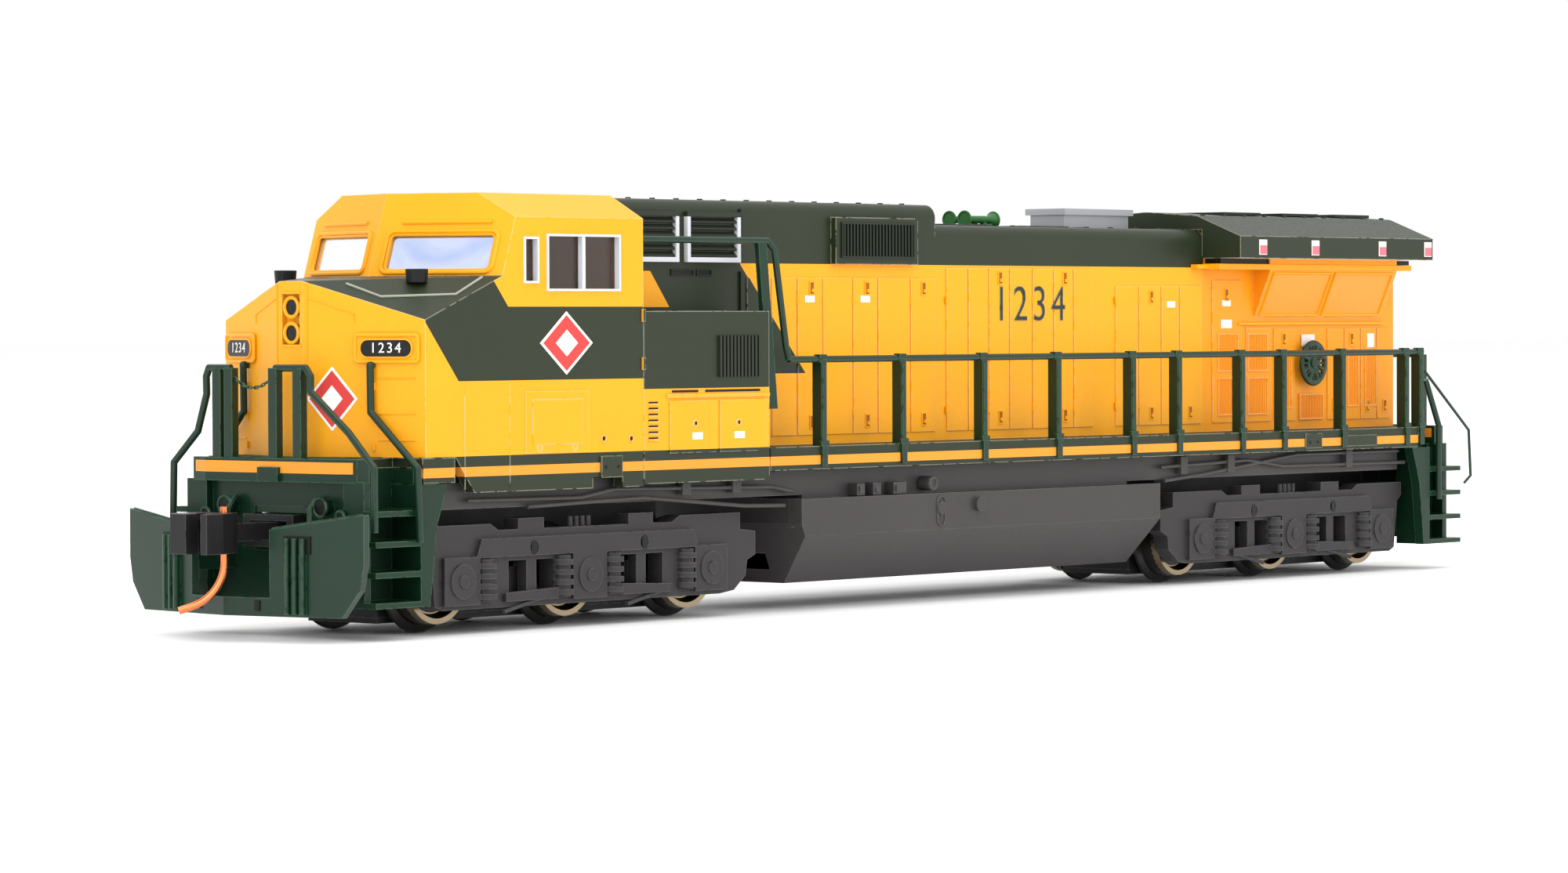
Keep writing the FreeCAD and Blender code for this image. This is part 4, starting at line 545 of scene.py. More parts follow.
# painted reflection: a near-white mirror sheet with bluish streaks on the near panes
def makeWindscreenReflection():
    material, tree, shader = newMaterial("windscreenReflection")
    reflectionStreaks = addNode(tree, "TexNoise", {
        "Vector": objectPlace(tree), "Scale": 180.0, "Detail": 4.0, "Distortion": 1.2})
    x, y, z = placeInMilli(tree)
    bluerReflection = calc(tree, "MULTIPLY", reflectionStreaks.outputs[0], below(tree, y, 0.0))
    colour = mixColours(tree, bluerReflection, tint(250, 251, 255), tint(150, 178, 240))
    feed(tree, colour, shader["Base Color"])
    feedGrain(tree, shader, colour, ("Normal",), Variation=0.03, Roughness=0.08, Scale=500.0, Bump=0.04)
    shader["Metallic"].default_value = 0.85
    shader["Roughness"].default_value = 0.08
    return material


materials["wheelMetal"] = makeWheelMaterial()
materials["windowGlass"] = makeGlass("windowGlass", tint(214, 210, 206), 0.03)
materials["lampGlass"] = makeGlass("lampGlass", tint(240, 240, 244), 0.05)
materials["windscreenReflection"] = makeWindscreenReflection()

nodeFinishes = {
    "cab_shell": "cabPaint", "hood_shell": "hoodPaint", "radiator_roof": "wingPaint", "walkway": "deckPaint",
    "front_pilot": "pilotPaint", "rear_pilot": "pilotPaint", "side_handrails": "railGreen",
    "end_handrails": "railGreen", "snow_plow": "railGreen", "horns": "railGreen", "brake_wheel": "railGreen",
    "window_glass": "windowGlass", "window_frames": "silverTrim", "headlight_lenses": "lampGlass",
    "number_boards": "boardBlack", "intake_grilles": "grillePaint", "exhaust_stack": "stackSilver",
    "fuel_tank": "tankBlack", "frame_left": "castMetal", "frame_right": "castMetal", "frame_screws": "steel",
    "motor_case": "motorCan", "motor_rotor": "steel", "flywheels": "brass", "front_worm_shaft": "steel",
    "rear_worm_shaft": "steel", "worm_bearings": "bronze", "light_board": "boardGreen",
    "contact_strips": "copper", "coupler_boxes": "couplerBlack",
}
endFinishes = {
    "gearbox": "gearboxBlack", "gearbox_cover": "gearboxBlack", "sideframes": "truckGrey",
    "worm_gear": "gearNylon", "inner_idler": "gearNylon", "outer_idler": "gearNylon",
    "coupler": "couplerBlack", "knuckle": "couplerBlack", "trip_pin": "copper",
}
for end in ("front", "rear"):
    for part, finish in endFinishes.items():
        nodeFinishes["%s_%s" % (end, part)] = finish
    for axle in (1, 2, 3):
        nodeFinishes["%s_wheels_%d" % (end, axle)] = "wheelMetal"
        nodeFinishes["%s_axle_gear_%d" % (end, axle)] = "gearNylon"
for node, finish in nodeFinishes.items():
    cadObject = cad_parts[node]
    for slot in cadObject.material_slots:
        slot.material = materials[finish]
print("finishes on", len(nodeFinishes), "nodes")

# mesh tools: every piece is gathered from bevelled blocks, bars and plates


def addBlock(mesh, xSpan, ySpan, zSpan):
    corners = [Vector((x, y, z)) * milli for x in xSpan for y in ySpan for z in zSpan]
    verts = [mesh.verts.new(corner) for corner in corners]
    for loop in ((0, 1, 3, 2), (4, 6, 7, 5), (0, 4, 5, 1), (2, 3, 7, 6), (0, 2, 6, 4), (1, 5, 7, 3)):
        mesh.faces.new([verts[i] for i in loop])


def addPlate(mesh, corners, push):
    lower = [mesh.verts.new(Vector(corner) * milli) for corner in corners]
    upper = [mesh.verts.new((Vector(corner) + Vector(push)) * milli) for corner in corners]
    mesh.faces.new(lower[::-1])
    mesh.faces.new(upper)
    for i in range(len(corners)):
        j = (i + 1) % len(corners)
        mesh.faces.new((lower[i], lower[j], upper[j], upper[i]))


def circle(sides):
    angles = [2 * math.pi * i / sides for i in range(sides)]
    return [(math.cos(angle), math.sin(angle)) for angle in angles]


def addBar(mesh, start, end, radius, sides=12, endRadius=None):
    start, end = Vector(start) * milli, Vector(end) * milli
    turn = (end - start).normalized().to_track_quat("Z", "Y").to_matrix()
    rings = []
    for place, size in ((start, radius), (end, endRadius or radius)):
        offsets = [turn @ Vector((a, b, 0)) * size * milli for a, b in circle(sides)]
        rings.append([mesh.verts.new(place + offset) for offset in offsets])
    mesh.faces.new(rings[0][::-1])
    mesh.faces.new(rings[1])
    for i in range(sides):
        j = (i + 1) % sides
        mesh.faces.new((rings[0][i], rings[0][j], rings[1][j], rings[1][i]))


def addTube(mesh, points, radius, closed=False, sides=8):
    points = [Vector(point) * milli for point in points]
    count = len(points)
    rings = []
    side = None
    for i, point in enumerate(points):
        before = points[i - 1] if (closed or i > 0) else points[0]
        after = points[(i + 1) % count] if (closed or i < count - 1) else points[-1]
        along = (after - before).normalized()
        side = side or along.orthogonal().normalized()
        side = (side - along * side.dot(along)).normalized()
        up = along.cross(side)
        rings.append([mesh.verts.new(point + (side * a + up * b) * radius * milli) for a, b in circle(sides)])
    for i in range(count if closed else count - 1):
        first, second = rings[i], rings[(i + 1) % count]
        for j in range(sides):
            k = (j + 1) % sides
            mesh.faces.new((first[j], first[k], second[k], second[j]))
    if not closed:
        mesh.faces.new(rings[0][::-1])
        mesh.faces.new(rings[-1])


def roundedOutline(across, up, radius, steps=5):
    (left, right), (low, high) = (across[0] + radius, across[1] - radius), (up[0] + radius, up[1] - radius)
    outline = []
    for middleA, middleU, start in ((right, high, 0), (left, high, 90), (left, low, 180), (right, low, 270)):
        for step in range(steps + 1):
            angle = math.radians(start + 90 * step / steps)
            outline.append((middleA + radius * math.cos(angle), middleU + radius * math.sin(angle)))
    return outline


def addRing(mesh, middle, axis, radius, thickness, sides=24):
    turn = Vector(axis).normalized().to_track_quat("Z", "Y").to_matrix()
    points = [Vector(middle) + turn @ Vector((a, b, 0)) * radius for a, b in circle(sides)]
    addTube(mesh, points, thickness, closed=True)


def addFrame(mesh, xSpan, zSpan, ySpan, width):
    (x0, x1), (z0, z1) = xSpan, zSpan
    addBlock(mesh, (x0 - width, x1 + width), ySpan, (z1, z1 + width))
    addBlock(mesh, (x0 - width, x1 + width), ySpan, (z0 - width, z0))
    addBlock(mesh, (x0 - width, x0), ySpan, (z0, z1))
    addBlock(mesh, (x1, x1 + width), ySpan, (z0, z1))


def finishPiece(mesh, name, material, body="chassis", bevel=0.0):
    bmesh.ops.recalc_face_normals(mesh, faces=mesh.faces)
    data = bpy.data.meshes.new(name)
    mesh.to_mesh(data)
    mesh.free()
    data.materials.append(materials[material])
    piece = bpy.data.objects.new(name, data)
    bpy.context.scene.collection.objects.link(piece)
    if bevel:
        modifier = piece.modifiers.new("softEdges", "BEVEL")
        modifier.width = bevel * milli
        modifier.segments = 2
        modifier.limit_method = "ANGLE"
        modifier.angle_limit = math.radians(40)
    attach(piece, body)
    return piece


def sideSpan(side, near, far):
    return tuple(sorted((side * near, side * far)))


def around(middle, half):
    return middle - half, middle + half


def addPair(mesh, xSpan, near, far, zSpan):  # the same block on the left and the right
    for side in (-1, 1):
        addBlock(mesh, xSpan, sideSpan(side, near, far), zSpan)


def addFramePair(mesh, xSpan, near, far, zSpan, width):
    for side in (-1, 1):
        addFrame(mesh, xSpan, zSpan, sideSpan(side, near, far), width)


# hood doors, with a fine gap between neighbours

hoodDoors = {
    "wall": 5.8,
    "proud": 0.11,
    "gap": 0.07,
    "bottom": 12.88,
    "rows": [
        {"seams": [-23.4, -20.6, -17.65, -14.68, -11.15, -8.18, -4.27, -1.2], "top": 24.6},
        {"seams": [0.1, 2.82, 5.4, 8.02, 10.94, 13.66, 16.27, 18.9], "top": 25.4},
        {"seams": [21.8, 24.94, 27.98, 30.51, 33.6], "top": 24.1},
        {"seams": [54.2, 56.6, 59.05, 61.2], "top": 20.6},
    ],
    "singles": [(35.0, 39.3, 12.9, 24.6), (39.8, 43.4, 12.9, 20.7), (43.75, 46.9, 12.9, 20.6),
                (51.6, 54.0, 12.9, 20.6)],
}


def makeHoodDoors(settings):
    mesh = bmesh.new()
    gap, wall = settings["gap"], settings["wall"]
    spans = list(settings["singles"])
    for row in settings["rows"]:
        for start, end in zip(row["seams"], row["seams"][1:]):
            spans.append((start, end, settings["bottom"], row["top"]))
    for x0, x1, z0, z1 in spans:
        addPair(mesh, (x0 + gap, x1 - gap), wall - 0.02, wall + settings["proud"], (z0, z1))
    finishPiece(mesh, "hoodDoors", "hoodPaint", bevel=0.045)


makeHoodDoors(hoodDoors)

doorHardware = {
    "upperLatches": [(-16.0, 23.8), (-9.5, 23.8), (-2.7, 23.8), (6.8, 24.65), (15.1, 24.65), (26.6, 23.2),
                     (37.0, 23.4)],
    "lowerLatches": [-16.0, -9.5, -2.7, 6.8, 15.1, 26.6, 31.9],
    "lowerHeight": 13.85,
    "hinges": [-17.65, -11.15, -4.27, 0.1, 5.4, 10.94, 16.27, 21.8, 24.94, 30.51],
    "hingeHeights": [22.9, 18.6, 14.5],
    "rearLatches": [(45.2, 19.7), (55.2, 19.7), (52.6, 14.2), (60.2, 14.0), (57.6, 14.0)],
    "face": 5.9,
}


def makeHardware(settings):
    mesh, dark = bmesh.new(), bmesh.new()
    face = settings["face"]
    latches = settings["upperLatches"] + [(x, settings["lowerHeight"]) for x in settings["lowerLatches"]]
    for x, z in latches + settings["rearLatches"]:
        across, up = around(x, 0.2), around(z, 0.42)
        addFramePair(mesh, across, face - 0.05, face + 0.09, up, 0.1)
        addPair(dark, across, face - 0.05, face + 0.03, up)
        addPair(mesh, (x - 0.07, x + 0.16), face, face + 0.14, (z - 0.3, z - 0.05))
    for side in (-1, 1):
        y = side * (face + 0.03)
        for x in settings["hinges"]:
            for z in settings["hingeHeights"]:
                addBar(mesh, (x, y, z - 0.28), (x, y, z + 0.28), 0.11, 10)
    finishPiece(mesh, "doorHardware", "yellowPaint", bevel=0.02)
    finishPiece(dark, "latchWells", "latchShadow")


makeHardware(doorHardware)

labels = {
    "hood": [(-16.2, 23.0, 1.1, 0.5), (-9.7, 23.0, 1.1, 0.5), (29.3, 22.6, 1.1, 0.5), (37.0, 22.7, 1.2, 0.5),
             (37.0, 21.0, 1.5, 0.7), (48.75, 19.6, 1.9, 1.0), (58.1, 19.55, 1.0, 1.2)],
    "cabinet": [(-33.4, 13.2, 1.1, 0.5), (-28.8, 13.2, 1.1, 0.5)],
    "faces": {"hood": (5.88, 5.94), "cabinet": (9.75, 9.86)},
}


def makeLabels(settings):
    mesh = bmesh.new()
    for wall, (near, far) in settings["faces"].items():
        for x, z, wide, high in settings[wall]:
            addPair(mesh, around(x, wide / 2), near, far, around(z, high / 2))
    finishPiece(mesh, "blankLabels", "label", bevel=0.015)


makeLabels(labels)
print("doors, latches and labels done")

# louvre panels with fine vertical slats

louvres = {
    "panels": [(35.9, 38.5, 17.2, 20.1), (40.1, 42.7, 17.2, 20.1), (35.9, 38.5, 13.6, 16.45),
               (40.1, 42.7, 13.6, 16.45), (44.3, 46.2, 14.1, 18.8), (54.7, 56.1, 14.1, 18.8),
               (57.3, 58.8, 14.1, 18.8), (47.6, 50.8, 13.1, 15.0)],
    "pitch": 0.22,
    "face": 5.9,
}


def makeLouvres(settings):
    mesh, frames = bmesh.new(), bmesh.new()
    face, pitch = settings["face"], settings["pitch"]
    for x0, x1, z0, z1 in settings["panels"]:
        addFramePair(frames, (x0, x1), face - 0.08, face + 0.1, (z0, z1), 0.14)
        addPair(mesh, (x0, x1), face - 0.08, face - 0.02, (z0, z1))
        for i in range(int((x1 - x0) / pitch)):
            addPair(mesh, around(x0 + pitch * (i + 0.5), 0.05), face - 0.03, face + 0.06, (z0, z1))
    finishPiece(mesh, "louvreSlats", "screenPaint")
    finishPiece(frames, "louvreFrames", "hoodPaint", bevel=0.03)


makeLouvres(louvres)

ventSlats = {"x": (-12.9, -4.5), "z": (26.2, 28.6), "face": 6.3, "pitch": 0.38}


def makeVentSlats(settings):
    slats, backs = bmesh.new(), bmesh.new()
    face, (x0, x1), heights = settings["face"], settings["x"], settings["z"]
    addFramePair(slats, (x0, x1), face, face + 0.14, heights, 0.12)
    addPair(backs, (x0, x1), face, face + 0.02, heights)
    count = int((x1 - x0) / settings["pitch"])
    for i in range(count):
        addPair(slats, around(x0 + (i + 0.5) * (x1 - x0) / count, 0.08), face, face + 0.13, heights)
    finishPiece(slats, "ventSlats", "trimGreen")
    finishPiece(backs, "ventShadows", "blackAndShade")


makeVentSlats(ventSlats)
print("louvres done")

# radiator section: slanted screens, frames and end reflectors

screens = {
    "bays": [(41.55, 49.9), (50.5, 59.0)],
    "low": (5.93, 21.75),
    "high": (7.42, 25.2),
    "ledges": [((38.6, 60.0), 5.78, 6.05, (20.9, 21.12)), ((33.8, 61.9), 5.7, 7.56, (25.45, 25.92)),
               ((32.2, 34.6), 5.7, 6.5, (25.5, 25.85))],
    "shadow": ((34.2, 61.8), 5.75, 7.35, (25.94, 26.3)),
    "reflectors": [36.9, 44.4, 54.3, 61.2],
    "reflectorHeight": (26.35 + 28.15) / 2,
}


def makeScreens(settings):
    mesh, rims, ledges, gaps = (bmesh.new() for i in range(4))
    (lowY, lowZ), (highY, highZ) = settings["low"], settings["high"]
    for side in (-1, 1):
        outward = Vector((0, side * 0.92, -0.39))
        for x0, x1 in settings["bays"]:
            corners = [Vector((x0, side * lowY, lowZ)), Vector((x1, side * lowY, lowZ)),
                       Vector((x1, side * highY, highZ)), Vector((x0, side * highY, highZ))]
            addPlate(mesh, corners, outward * 0.05)
            addTube(rims, [corner + outward * 0.06 for corner in corners], 0.13, closed=True, sides=6)
    for ledge in settings["ledges"]:
        addPair(ledges, *ledge)
    addPair(gaps, *settings["shadow"])
    finishPiece(mesh, "radiatorScreens", "screenPaint")
    finishPiece(rims, "screenRims", "yellowPaint")
    finishPiece(gaps, "roofShadows", "blackAndShade")
    finishPiece(ledges, "sideLedges", "yellowPaint", bevel=0.05)


def makeReflectors(settings):
    pale, red = bmesh.new(), bmesh.new()
    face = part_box("radiator_roof")[1].y / milli
    middle = settings["reflectorHeight"]
    for x in settings["reflectors"]:
        addPair(pale, around(x, 0.55), face - 0.02, face + 0.05, around(middle, 0.62))
        addPair(red, around(x, 0.48), face + 0.04, face + 0.09, (middle - 0.55, middle + 0.16))
    finishPiece(pale, "reflectorPlates", "label", bevel=0.03)
    finishPiece(red, "reflectors", "reflector", bevel=0.03)


makeScreens(screens)
makeReflectors(screens)
print("radiator section done")

# running number and plain diamond emblem

figures = {
    "text": "1234",
    "hood": {"middle": 10.6, "height": 22.5, "size": 3.9, "face": 5.93},
    "boards": {"size": 0.98},
    "spacing": 1.25,
}


def addFigures(name, text, size, spot, turn, material):
    curve = bpy.data.curves.new(name, "FONT")
    curve.body = text
    curve.size = size * milli
    curve.extrude = 0.02 * milli
    curve.space_character = figures["spacing"]
    curve.align_x = "CENTER"
    curve.align_y = "CENTER"
    helper = bpy.data.objects.new(name + "Curve", curve)
    bpy.context.scene.collection.objects.link(helper)
    bpy.context.view_layer.update()
    data = bpy.data.meshes.new_from_object(helper)
    bpy.data.objects.remove(helper)
    data.transform(Matrix.Translation(Vector(spot) * milli) @ turn)
    data.materials.clear()
    data.materials.append(materials[material])
    piece = bpy.data.objects.new(name, data)
    bpy.context.scene.collection.objects.link(piece)
    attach(piece, "chassis")


def standing(sideAngle):
    return Matrix.Rotation(math.radians(sideAngle), 4, "Z") @ Matrix.Rotation(math.radians(90), 4, "X")


def makeFigures(settings):
    hood = settings["hood"]
    for name, side, angle in (("numberNear", -1, 0), ("numberFar", 1, 180)):
        spot = (hood["middle"], side * hood["face"], hood["height"])
        addFigures(name, settings["text"], hood["size"], spot, standing(angle), "greenPaint")


makeFigures(figures)

emblem = {
    "side": {"middle": (-47.0, 9.66, 19.9), "wide": 2.7, "high": 2.2},
    "nose": {"wide": 1.9, "high": 2.2, "height": 16.2, "across": 2.2, "foot": (-64.13, -1.1, 0),
             "outward": (-0.939, -0.344, 0), "along": (0.344, -0.939, 0)},
    "layers": [("emblemRims", "emblemWhite", 1.0, 0.03), ("emblemFields", "emblemRed", 0.88, 0.05),
               ("emblemCores", "emblemWhite", 0.42, 0.07)],
}


def addDiamond(mesh, middle, across, up, wide, high, push):
    middle, across, up = Vector(middle), Vector(across), Vector(up)
    corners = [middle - across * wide, middle - up * high, middle + across * wide, middle + up * high]
    addPlate(mesh, corners, Vector(push))


def makeEmblems(settings):
    place, nose = settings["side"], settings["nose"]
    x, y, z = place["middle"]
    outward, along = Vector(nose["outward"]), Vector(nose["along"])
    middle = Vector(nose["foot"]) + along * nose["across"] + Vector((0, 0, nose["height"]))
    for name, material, share, proud in settings["layers"]:
        mesh = bmesh.new()
        for side in (-1, 1):
            addDiamond(mesh, (x, side * y, z), (1, 0, 0), (0, 0, 1), place["wide"] * share,
                       place["high"] * share, (0, side * proud, 0))
        addDiamond(mesh, middle, along, (0, 0, 1), nose["wide"] * share, nose["high"] * share,
                   outward * proud)
        finishPiece(mesh, name, material)


makeEmblems(emblem)
print("figures and emblem done")

# windscreen: a painted reflection sheet over the panes, rounded surrounds and the ribs over them

windscreen = {
    "apex": -56.7,
    "sweep": 0.343,
    "rake": 0.325,
    "brow": 24.53,
    "pane": ((1.05, 8.55), (24.95, 27.4)),
    "surround": ((0.8, 8.75), (24.78, 27.62)),
    "rib": ((1.7, 8.1), 28.25),
}


def onWindscreen(y, z, lift=0.0):
    shape = windscreen
    x = shape["apex"] + shape["sweep"] * abs(y) + shape["rake"] * (z - shape["brow"])
    outward = Vector((-1, math.copysign(shape["sweep"], y), shape["rake"])).normalized()
    return Vector((x, y, z)) + outward * lift


def makeWindscreen(settings):
    reflectionSheet, trim = bmesh.new(), bmesh.new()
    (paneSpan, paneHeights), (rimSpan, rimHeights) = settings["pane"], settings["surround"]
    (start, end), height = settings["rib"]
    for side in (-1, 1):
        pane = roundedOutline(sideSpan(side, *paneSpan), paneHeights, 0.35)
        rim = roundedOutline(sideSpan(side, *rimSpan), rimHeights, 0.5)
        addPlate(reflectionSheet, [onWindscreen(y, z, -0.22) for y, z in pane], (0.04, 0, 0))
        addTube(trim, [onWindscreen(y, z, 0.02) for y, z in rim], 0.17, closed=True)
        addTube(trim, [onWindscreen(y, z) for y, z in pane], 0.1, closed=True)
        addTube(trim, [onWindscreen(side * y, height, 0.02) for y in (start, end)], 0.15)
    finishPiece(reflectionSheet, "windscreenReflection", "windscreenReflection")
    finishPiece(trim, "windscreenTrim", "yellowPaint")


makeWindscreen(windscreen)

nose = {
    "stripTop": (-64.13, 1.1, 24.2),
    "shoulder": (-61.0, 9.65, 21.54),
    "browCorner": (-53.39, 9.65, 24.53),
    "ribShares": [(0.742, 0.099, 0.159), (0.439, 0.433, 0.128), (0.072, 0.423, 0.505), (0.092, 0.029, 0.879)],
    "bellShares": (0.385, 0.116, 0.499),
    "facet": ((-64.13, 1.1), (0.344, 0.939), (0.939, -0.344)),
    "lampHeights": (20.66, 22.42),
    "boards": {"span": (4.4, 8.2), "heights": (19.02, 20.22), "lift": 0.26, "turn": 69.9},
    "boardRim": (0.42, 0.3),           # how far the rim stands outside the board
    "steps": {"span": (5.6, 8.4), "heights": (17.6, 15.2, 13.4)},
    "catches": {"along": 5.3, "heights": (17.3, 13.2, 15.2)},
    "hatchLine": [(0.3, 23.1), (3.9, 21.95), (3.9, 21.3)],
    "stripLine": [(0.35, 24.0), (0.35, 13.0)],
    "lampPlate": [(19.72, 19.88), (23.32, 23.45)],
}


def onNoseFacet(side, along, height, lift=0.0):
    (x, y), run, outward = nose["facet"]
    x += run[0] * along - outward[0] * lift
    y += run[1] * along - outward[1] * lift
    return Vector((x, side * y, height))


def shoulderPoint(side, shares, lift=0.0):
    corners = [Vector((x, side * y, z)) for x, y, z in (
        nose["stripTop"], nose["shoulder"], nose["browCorner"])]
    normal = (corners[1] - corners[0]).cross(corners[2] - corners[0]).normalized()
    normal *= math.copysign(1, normal.z)
    spot = Vector()
    for corner, share in zip(corners, shares):
        spot += corner * share
    return spot + normal * lift


def makeNose(settings):
    rib, bell, bezels, boards, seams = (bmesh.new() for i in range(5))
    board, steps, catches = settings["boards"], settings["steps"], settings["catches"]
    (left, right), (low, high) = board["span"], board["heights"]
    wide, tall = settings["boardRim"]
    outline = roundedOutline((left, right), (low, high), 0.55, 6)
    rim = roundedOutline((left - wide, right + wide), (low - tall, high + tall), 0.25, 6)

    def facetLine(side, line, lift):
        return [onNoseFacet(side, along, height, lift) for along, height in line]

    for side in (-1, 1):
        addTube(rib, [shoulderPoint(side, shares, 0.03) for shares in settings["ribShares"]], 0.1, sides=6)
        foot = shoulderPoint(side, settings["bellShares"])
        addBar(bell, foot, foot + Vector((0, 0, 0.95)), 0.72, 20, 0.8)
        addPlate(boards, facetLine(side, outline, board["lift"]), (-0.02, 0, 0))
        addTube(bezels, facetLine(side, rim, 0.14), 0.13, closed=True)
        addPlate(bezels, facetLine(side, rim, 0.02), (-0.12, 0, 0))
        addTube(bezels, facetLine(side, outline, 0.2), 0.09, closed=True)
        for height in steps["heights"]:
            addTube(seams, facetLine(side, [(along, height) for along in steps["span"]], 0.02), 0.06, sides=6)
        for height in catches["heights"]:
            line = [(catches["along"], height), (catches["along"], height - 0.5)]
            addTube(seams, facetLine(side, line, 0.05), 0.12)
        addTube(seams, facetLine(side, settings["hatchLine"], 0.02), 0.05, sides=6)
        addTube(seams, facetLine(side, settings["stripLine"], 0.03), 0.05, sides=6)
    for height in settings["lampHeights"]:
        addRing(bezels, (settings["stripTop"][0] + 0.06, 0, height), (1, 0, 0), 0.66, 0.13)
    for heights in settings["lampPlate"]:
        addBlock(bezels, (-64.2, -64.0), (-1.0, 1.0), heights)
    # nose ribs painted pale: painted highlight and edge wear
    finishPiece(rib, "noseRibs", "ribHighlightAndWear")
    finishPiece(bell, "noseBells", "blackAndShade", bevel=0.05)
    finishPiece(bezels, "lampBezels", "yellowPaint")
    finishPiece(seams, "noseSeams", "yellowPaint")
    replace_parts(finishPiece(boards, "boardFaces", "boardBlack"), "number_boards")
    for name, side, turn in (("boardFiguresNear", -1, -board["turn"]),
                             ("boardFiguresFar", 1, board["turn"] - 180)):
        spot = onNoseFacet(side, (left + right) / 2, (low + high) / 2, board["lift"] + 0.03)
        addFigures(name, figures["text"], figures["boards"]["size"], spot, standing(turn), "label")


makeNose(nose)
print("nose and windscreen done")

cabSide = {
    "face": 9.65,
    "doors": [(-51.2, -44.7, 12.3, 16.6)],
    "cabinetDoors": [(-36.3, -31.2, 12.0, 15.75), (-30.9, -25.7, 12.0, 15.75)],
    "dents": [(-49.77, 12.7), (-46.17, 12.7), (-43.17, 13.2), (-40.3, 13.15)],
    "handles": [(-33.57, 14.1), (-28.85, 14.1)],
    "vents": {"x": (-38.5, -37.5), "z": (12.9, 15.7), "pitch": 0.42},
    "slots": {"x": [(-36.0, -33.2), (-32.4, -26.4)], "z": (16.32, 16.48)},
    "ledge": ((-36.6, -25.45), (15.95, 16.2)),
    "hinges": [(-38.96, 21.8), (-38.96, 18.4)],
    "seams": {"x": [-52.74, -57.2], "z": (10.0, 17.2)},
}


def makeCabSide(settings):
    plates, darks, cabinet = (bmesh.new() for i in range(3))
    face, vents = settings["face"], settings["vents"]
    for x0, x1, z0, z1 in settings["doors"]:
        addPair(plates, (x0, x1), face - 0.02, face + 0.06, (z0, z1))
        addPair(plates, (x0 + 0.7, x1 - 0.7), face, face + 0.11, (z0 + 0.6, z1 - 0.6))
    for x0, x1, z0, z1 in settings["cabinetDoors"]:
        addPair(cabinet, (x0, x1), face + 0.02, face + 0.16, (z0, z1))
    span, heights = settings["ledge"]
    addPair(cabinet, span, face + 0.02, face + 0.22, heights)
    for span in settings["slots"]["x"]:
        addPair(darks, span, face + 0.02, face + 0.1, settings["slots"]["z"])
    for side in (-1, 1):
        for x, z in settings["dents"]:
            addRing(plates, (x, side * (face + 0.02), z), (0, 1, 0), 0.24, 0.07, 16)
            addBar(darks, (x, side * face, z), (x, side * (face + 0.02), z), 0.15)
        for x, z in settings["handles"]:
            addRing(cabinet, (x, side * (face + 0.17), z), (0, 1, 0), 0.2, 0.06, 16)
            addBar(darks, (x, side * (face + 0.1), z), (x, side * (face + 0.18), z), 0.14)
    low, high = vents["z"]
    for i in range(int((high - low) / vents["pitch"]) + 1):
        z = low + vents["pitch"] * i
        addPair(plates, vents["x"], face, face + 0.15, (z, z + 0.16))
        addPair(darks, vents["x"], face, face + 0.07, (z + 0.16, z + 0.28))
    for x, z in settings["hinges"]:
        addPair(plates, (x - 0.18, x + 0.1), face - 0.05, face + 0.16, around(z, 0.45))
    for x in settings["seams"]["x"]:
        addPair(plates, around(x, 0.04), face - 0.02, face + 0.03, settings["seams"]["z"])
    finishPiece(plates, "cabPanels", "cabPaint", bevel=0.02)
    finishPiece(cabinet, "cabinetPanels", "hoodPaint", bevel=0.025)
    finishPiece(darks, "cabShadows", "blackAndShade")


makeCabSide(cabSide)

sillBrackets = {
    "places": [(-43.55, -41.35, 10.45, 12.0), (42.75, 45.15, 10.7, 11.95), (48.7, 53.3, 10.75, 11.7)],
    "bolts": {"x": (-43.1, -41.8, 43.4, 44.5), "z": 11.2},
    "face": 9.74,
}


def makeBrackets(settings):
    mesh, bolts = bmesh.new(), bmesh.new()
    face, z = settings["face"], settings["bolts"]["z"]
    for x0, x1, z0, z1 in settings["places"]:
        addPair(mesh, (x0, x1), face - 0.1, face + 0.08, (z0, z1))
    for side in (-1, 1):
        for x in settings["bolts"]["x"]:
            addBar(bolts, (x, side * 9.8, z), (x, side * 9.85, z), 0.13, 10)
    finishPiece(mesh, "sillBrackets", "greenPaint", bevel=0.05)
    finishPiece(bolts, "bracketBolts", "blackAndShade")


makeBrackets(sillBrackets)
print("cab sides done")

# roof bolts, hatches and panel seams

roofFittings = {
    "boltRows": [{"x": (-37.5, -2.0), "y": 4.6, "z": 30.2, "pitch": 2.6},
                 {"x": (0.5, 33.0), "y": 4.6, "z": 28.7, "pitch": 3.2},
                 {"x": (35.0, 61.5), "y": 5.0, "z": 29.9, "pitch": 2.9}],
    "boltTop": 30.29,
    "plates": [((-20.5, -12.5), (-3.4, 3.4), (30.15, 30.26)), ((-11.0, -3.5), (-3.4, 3.4), (30.15, 30.26)),
               ((1.2, 9.2), (-3.2, -2.2), (28.65, 28.85)), ((12.8, 19.0), (-3.4, 3.4), (28.65, 28.82))],
    "seams": {"x": (3.4, 19.6, 31.0), "y": (-4.9, 4.9), "z": (28.65, 28.76)},
    "wingPlates": {"x": (42.2, 50.6, 58.3), "y": (-3.9, 3.9), "z": (29.98, 30.24)},
}


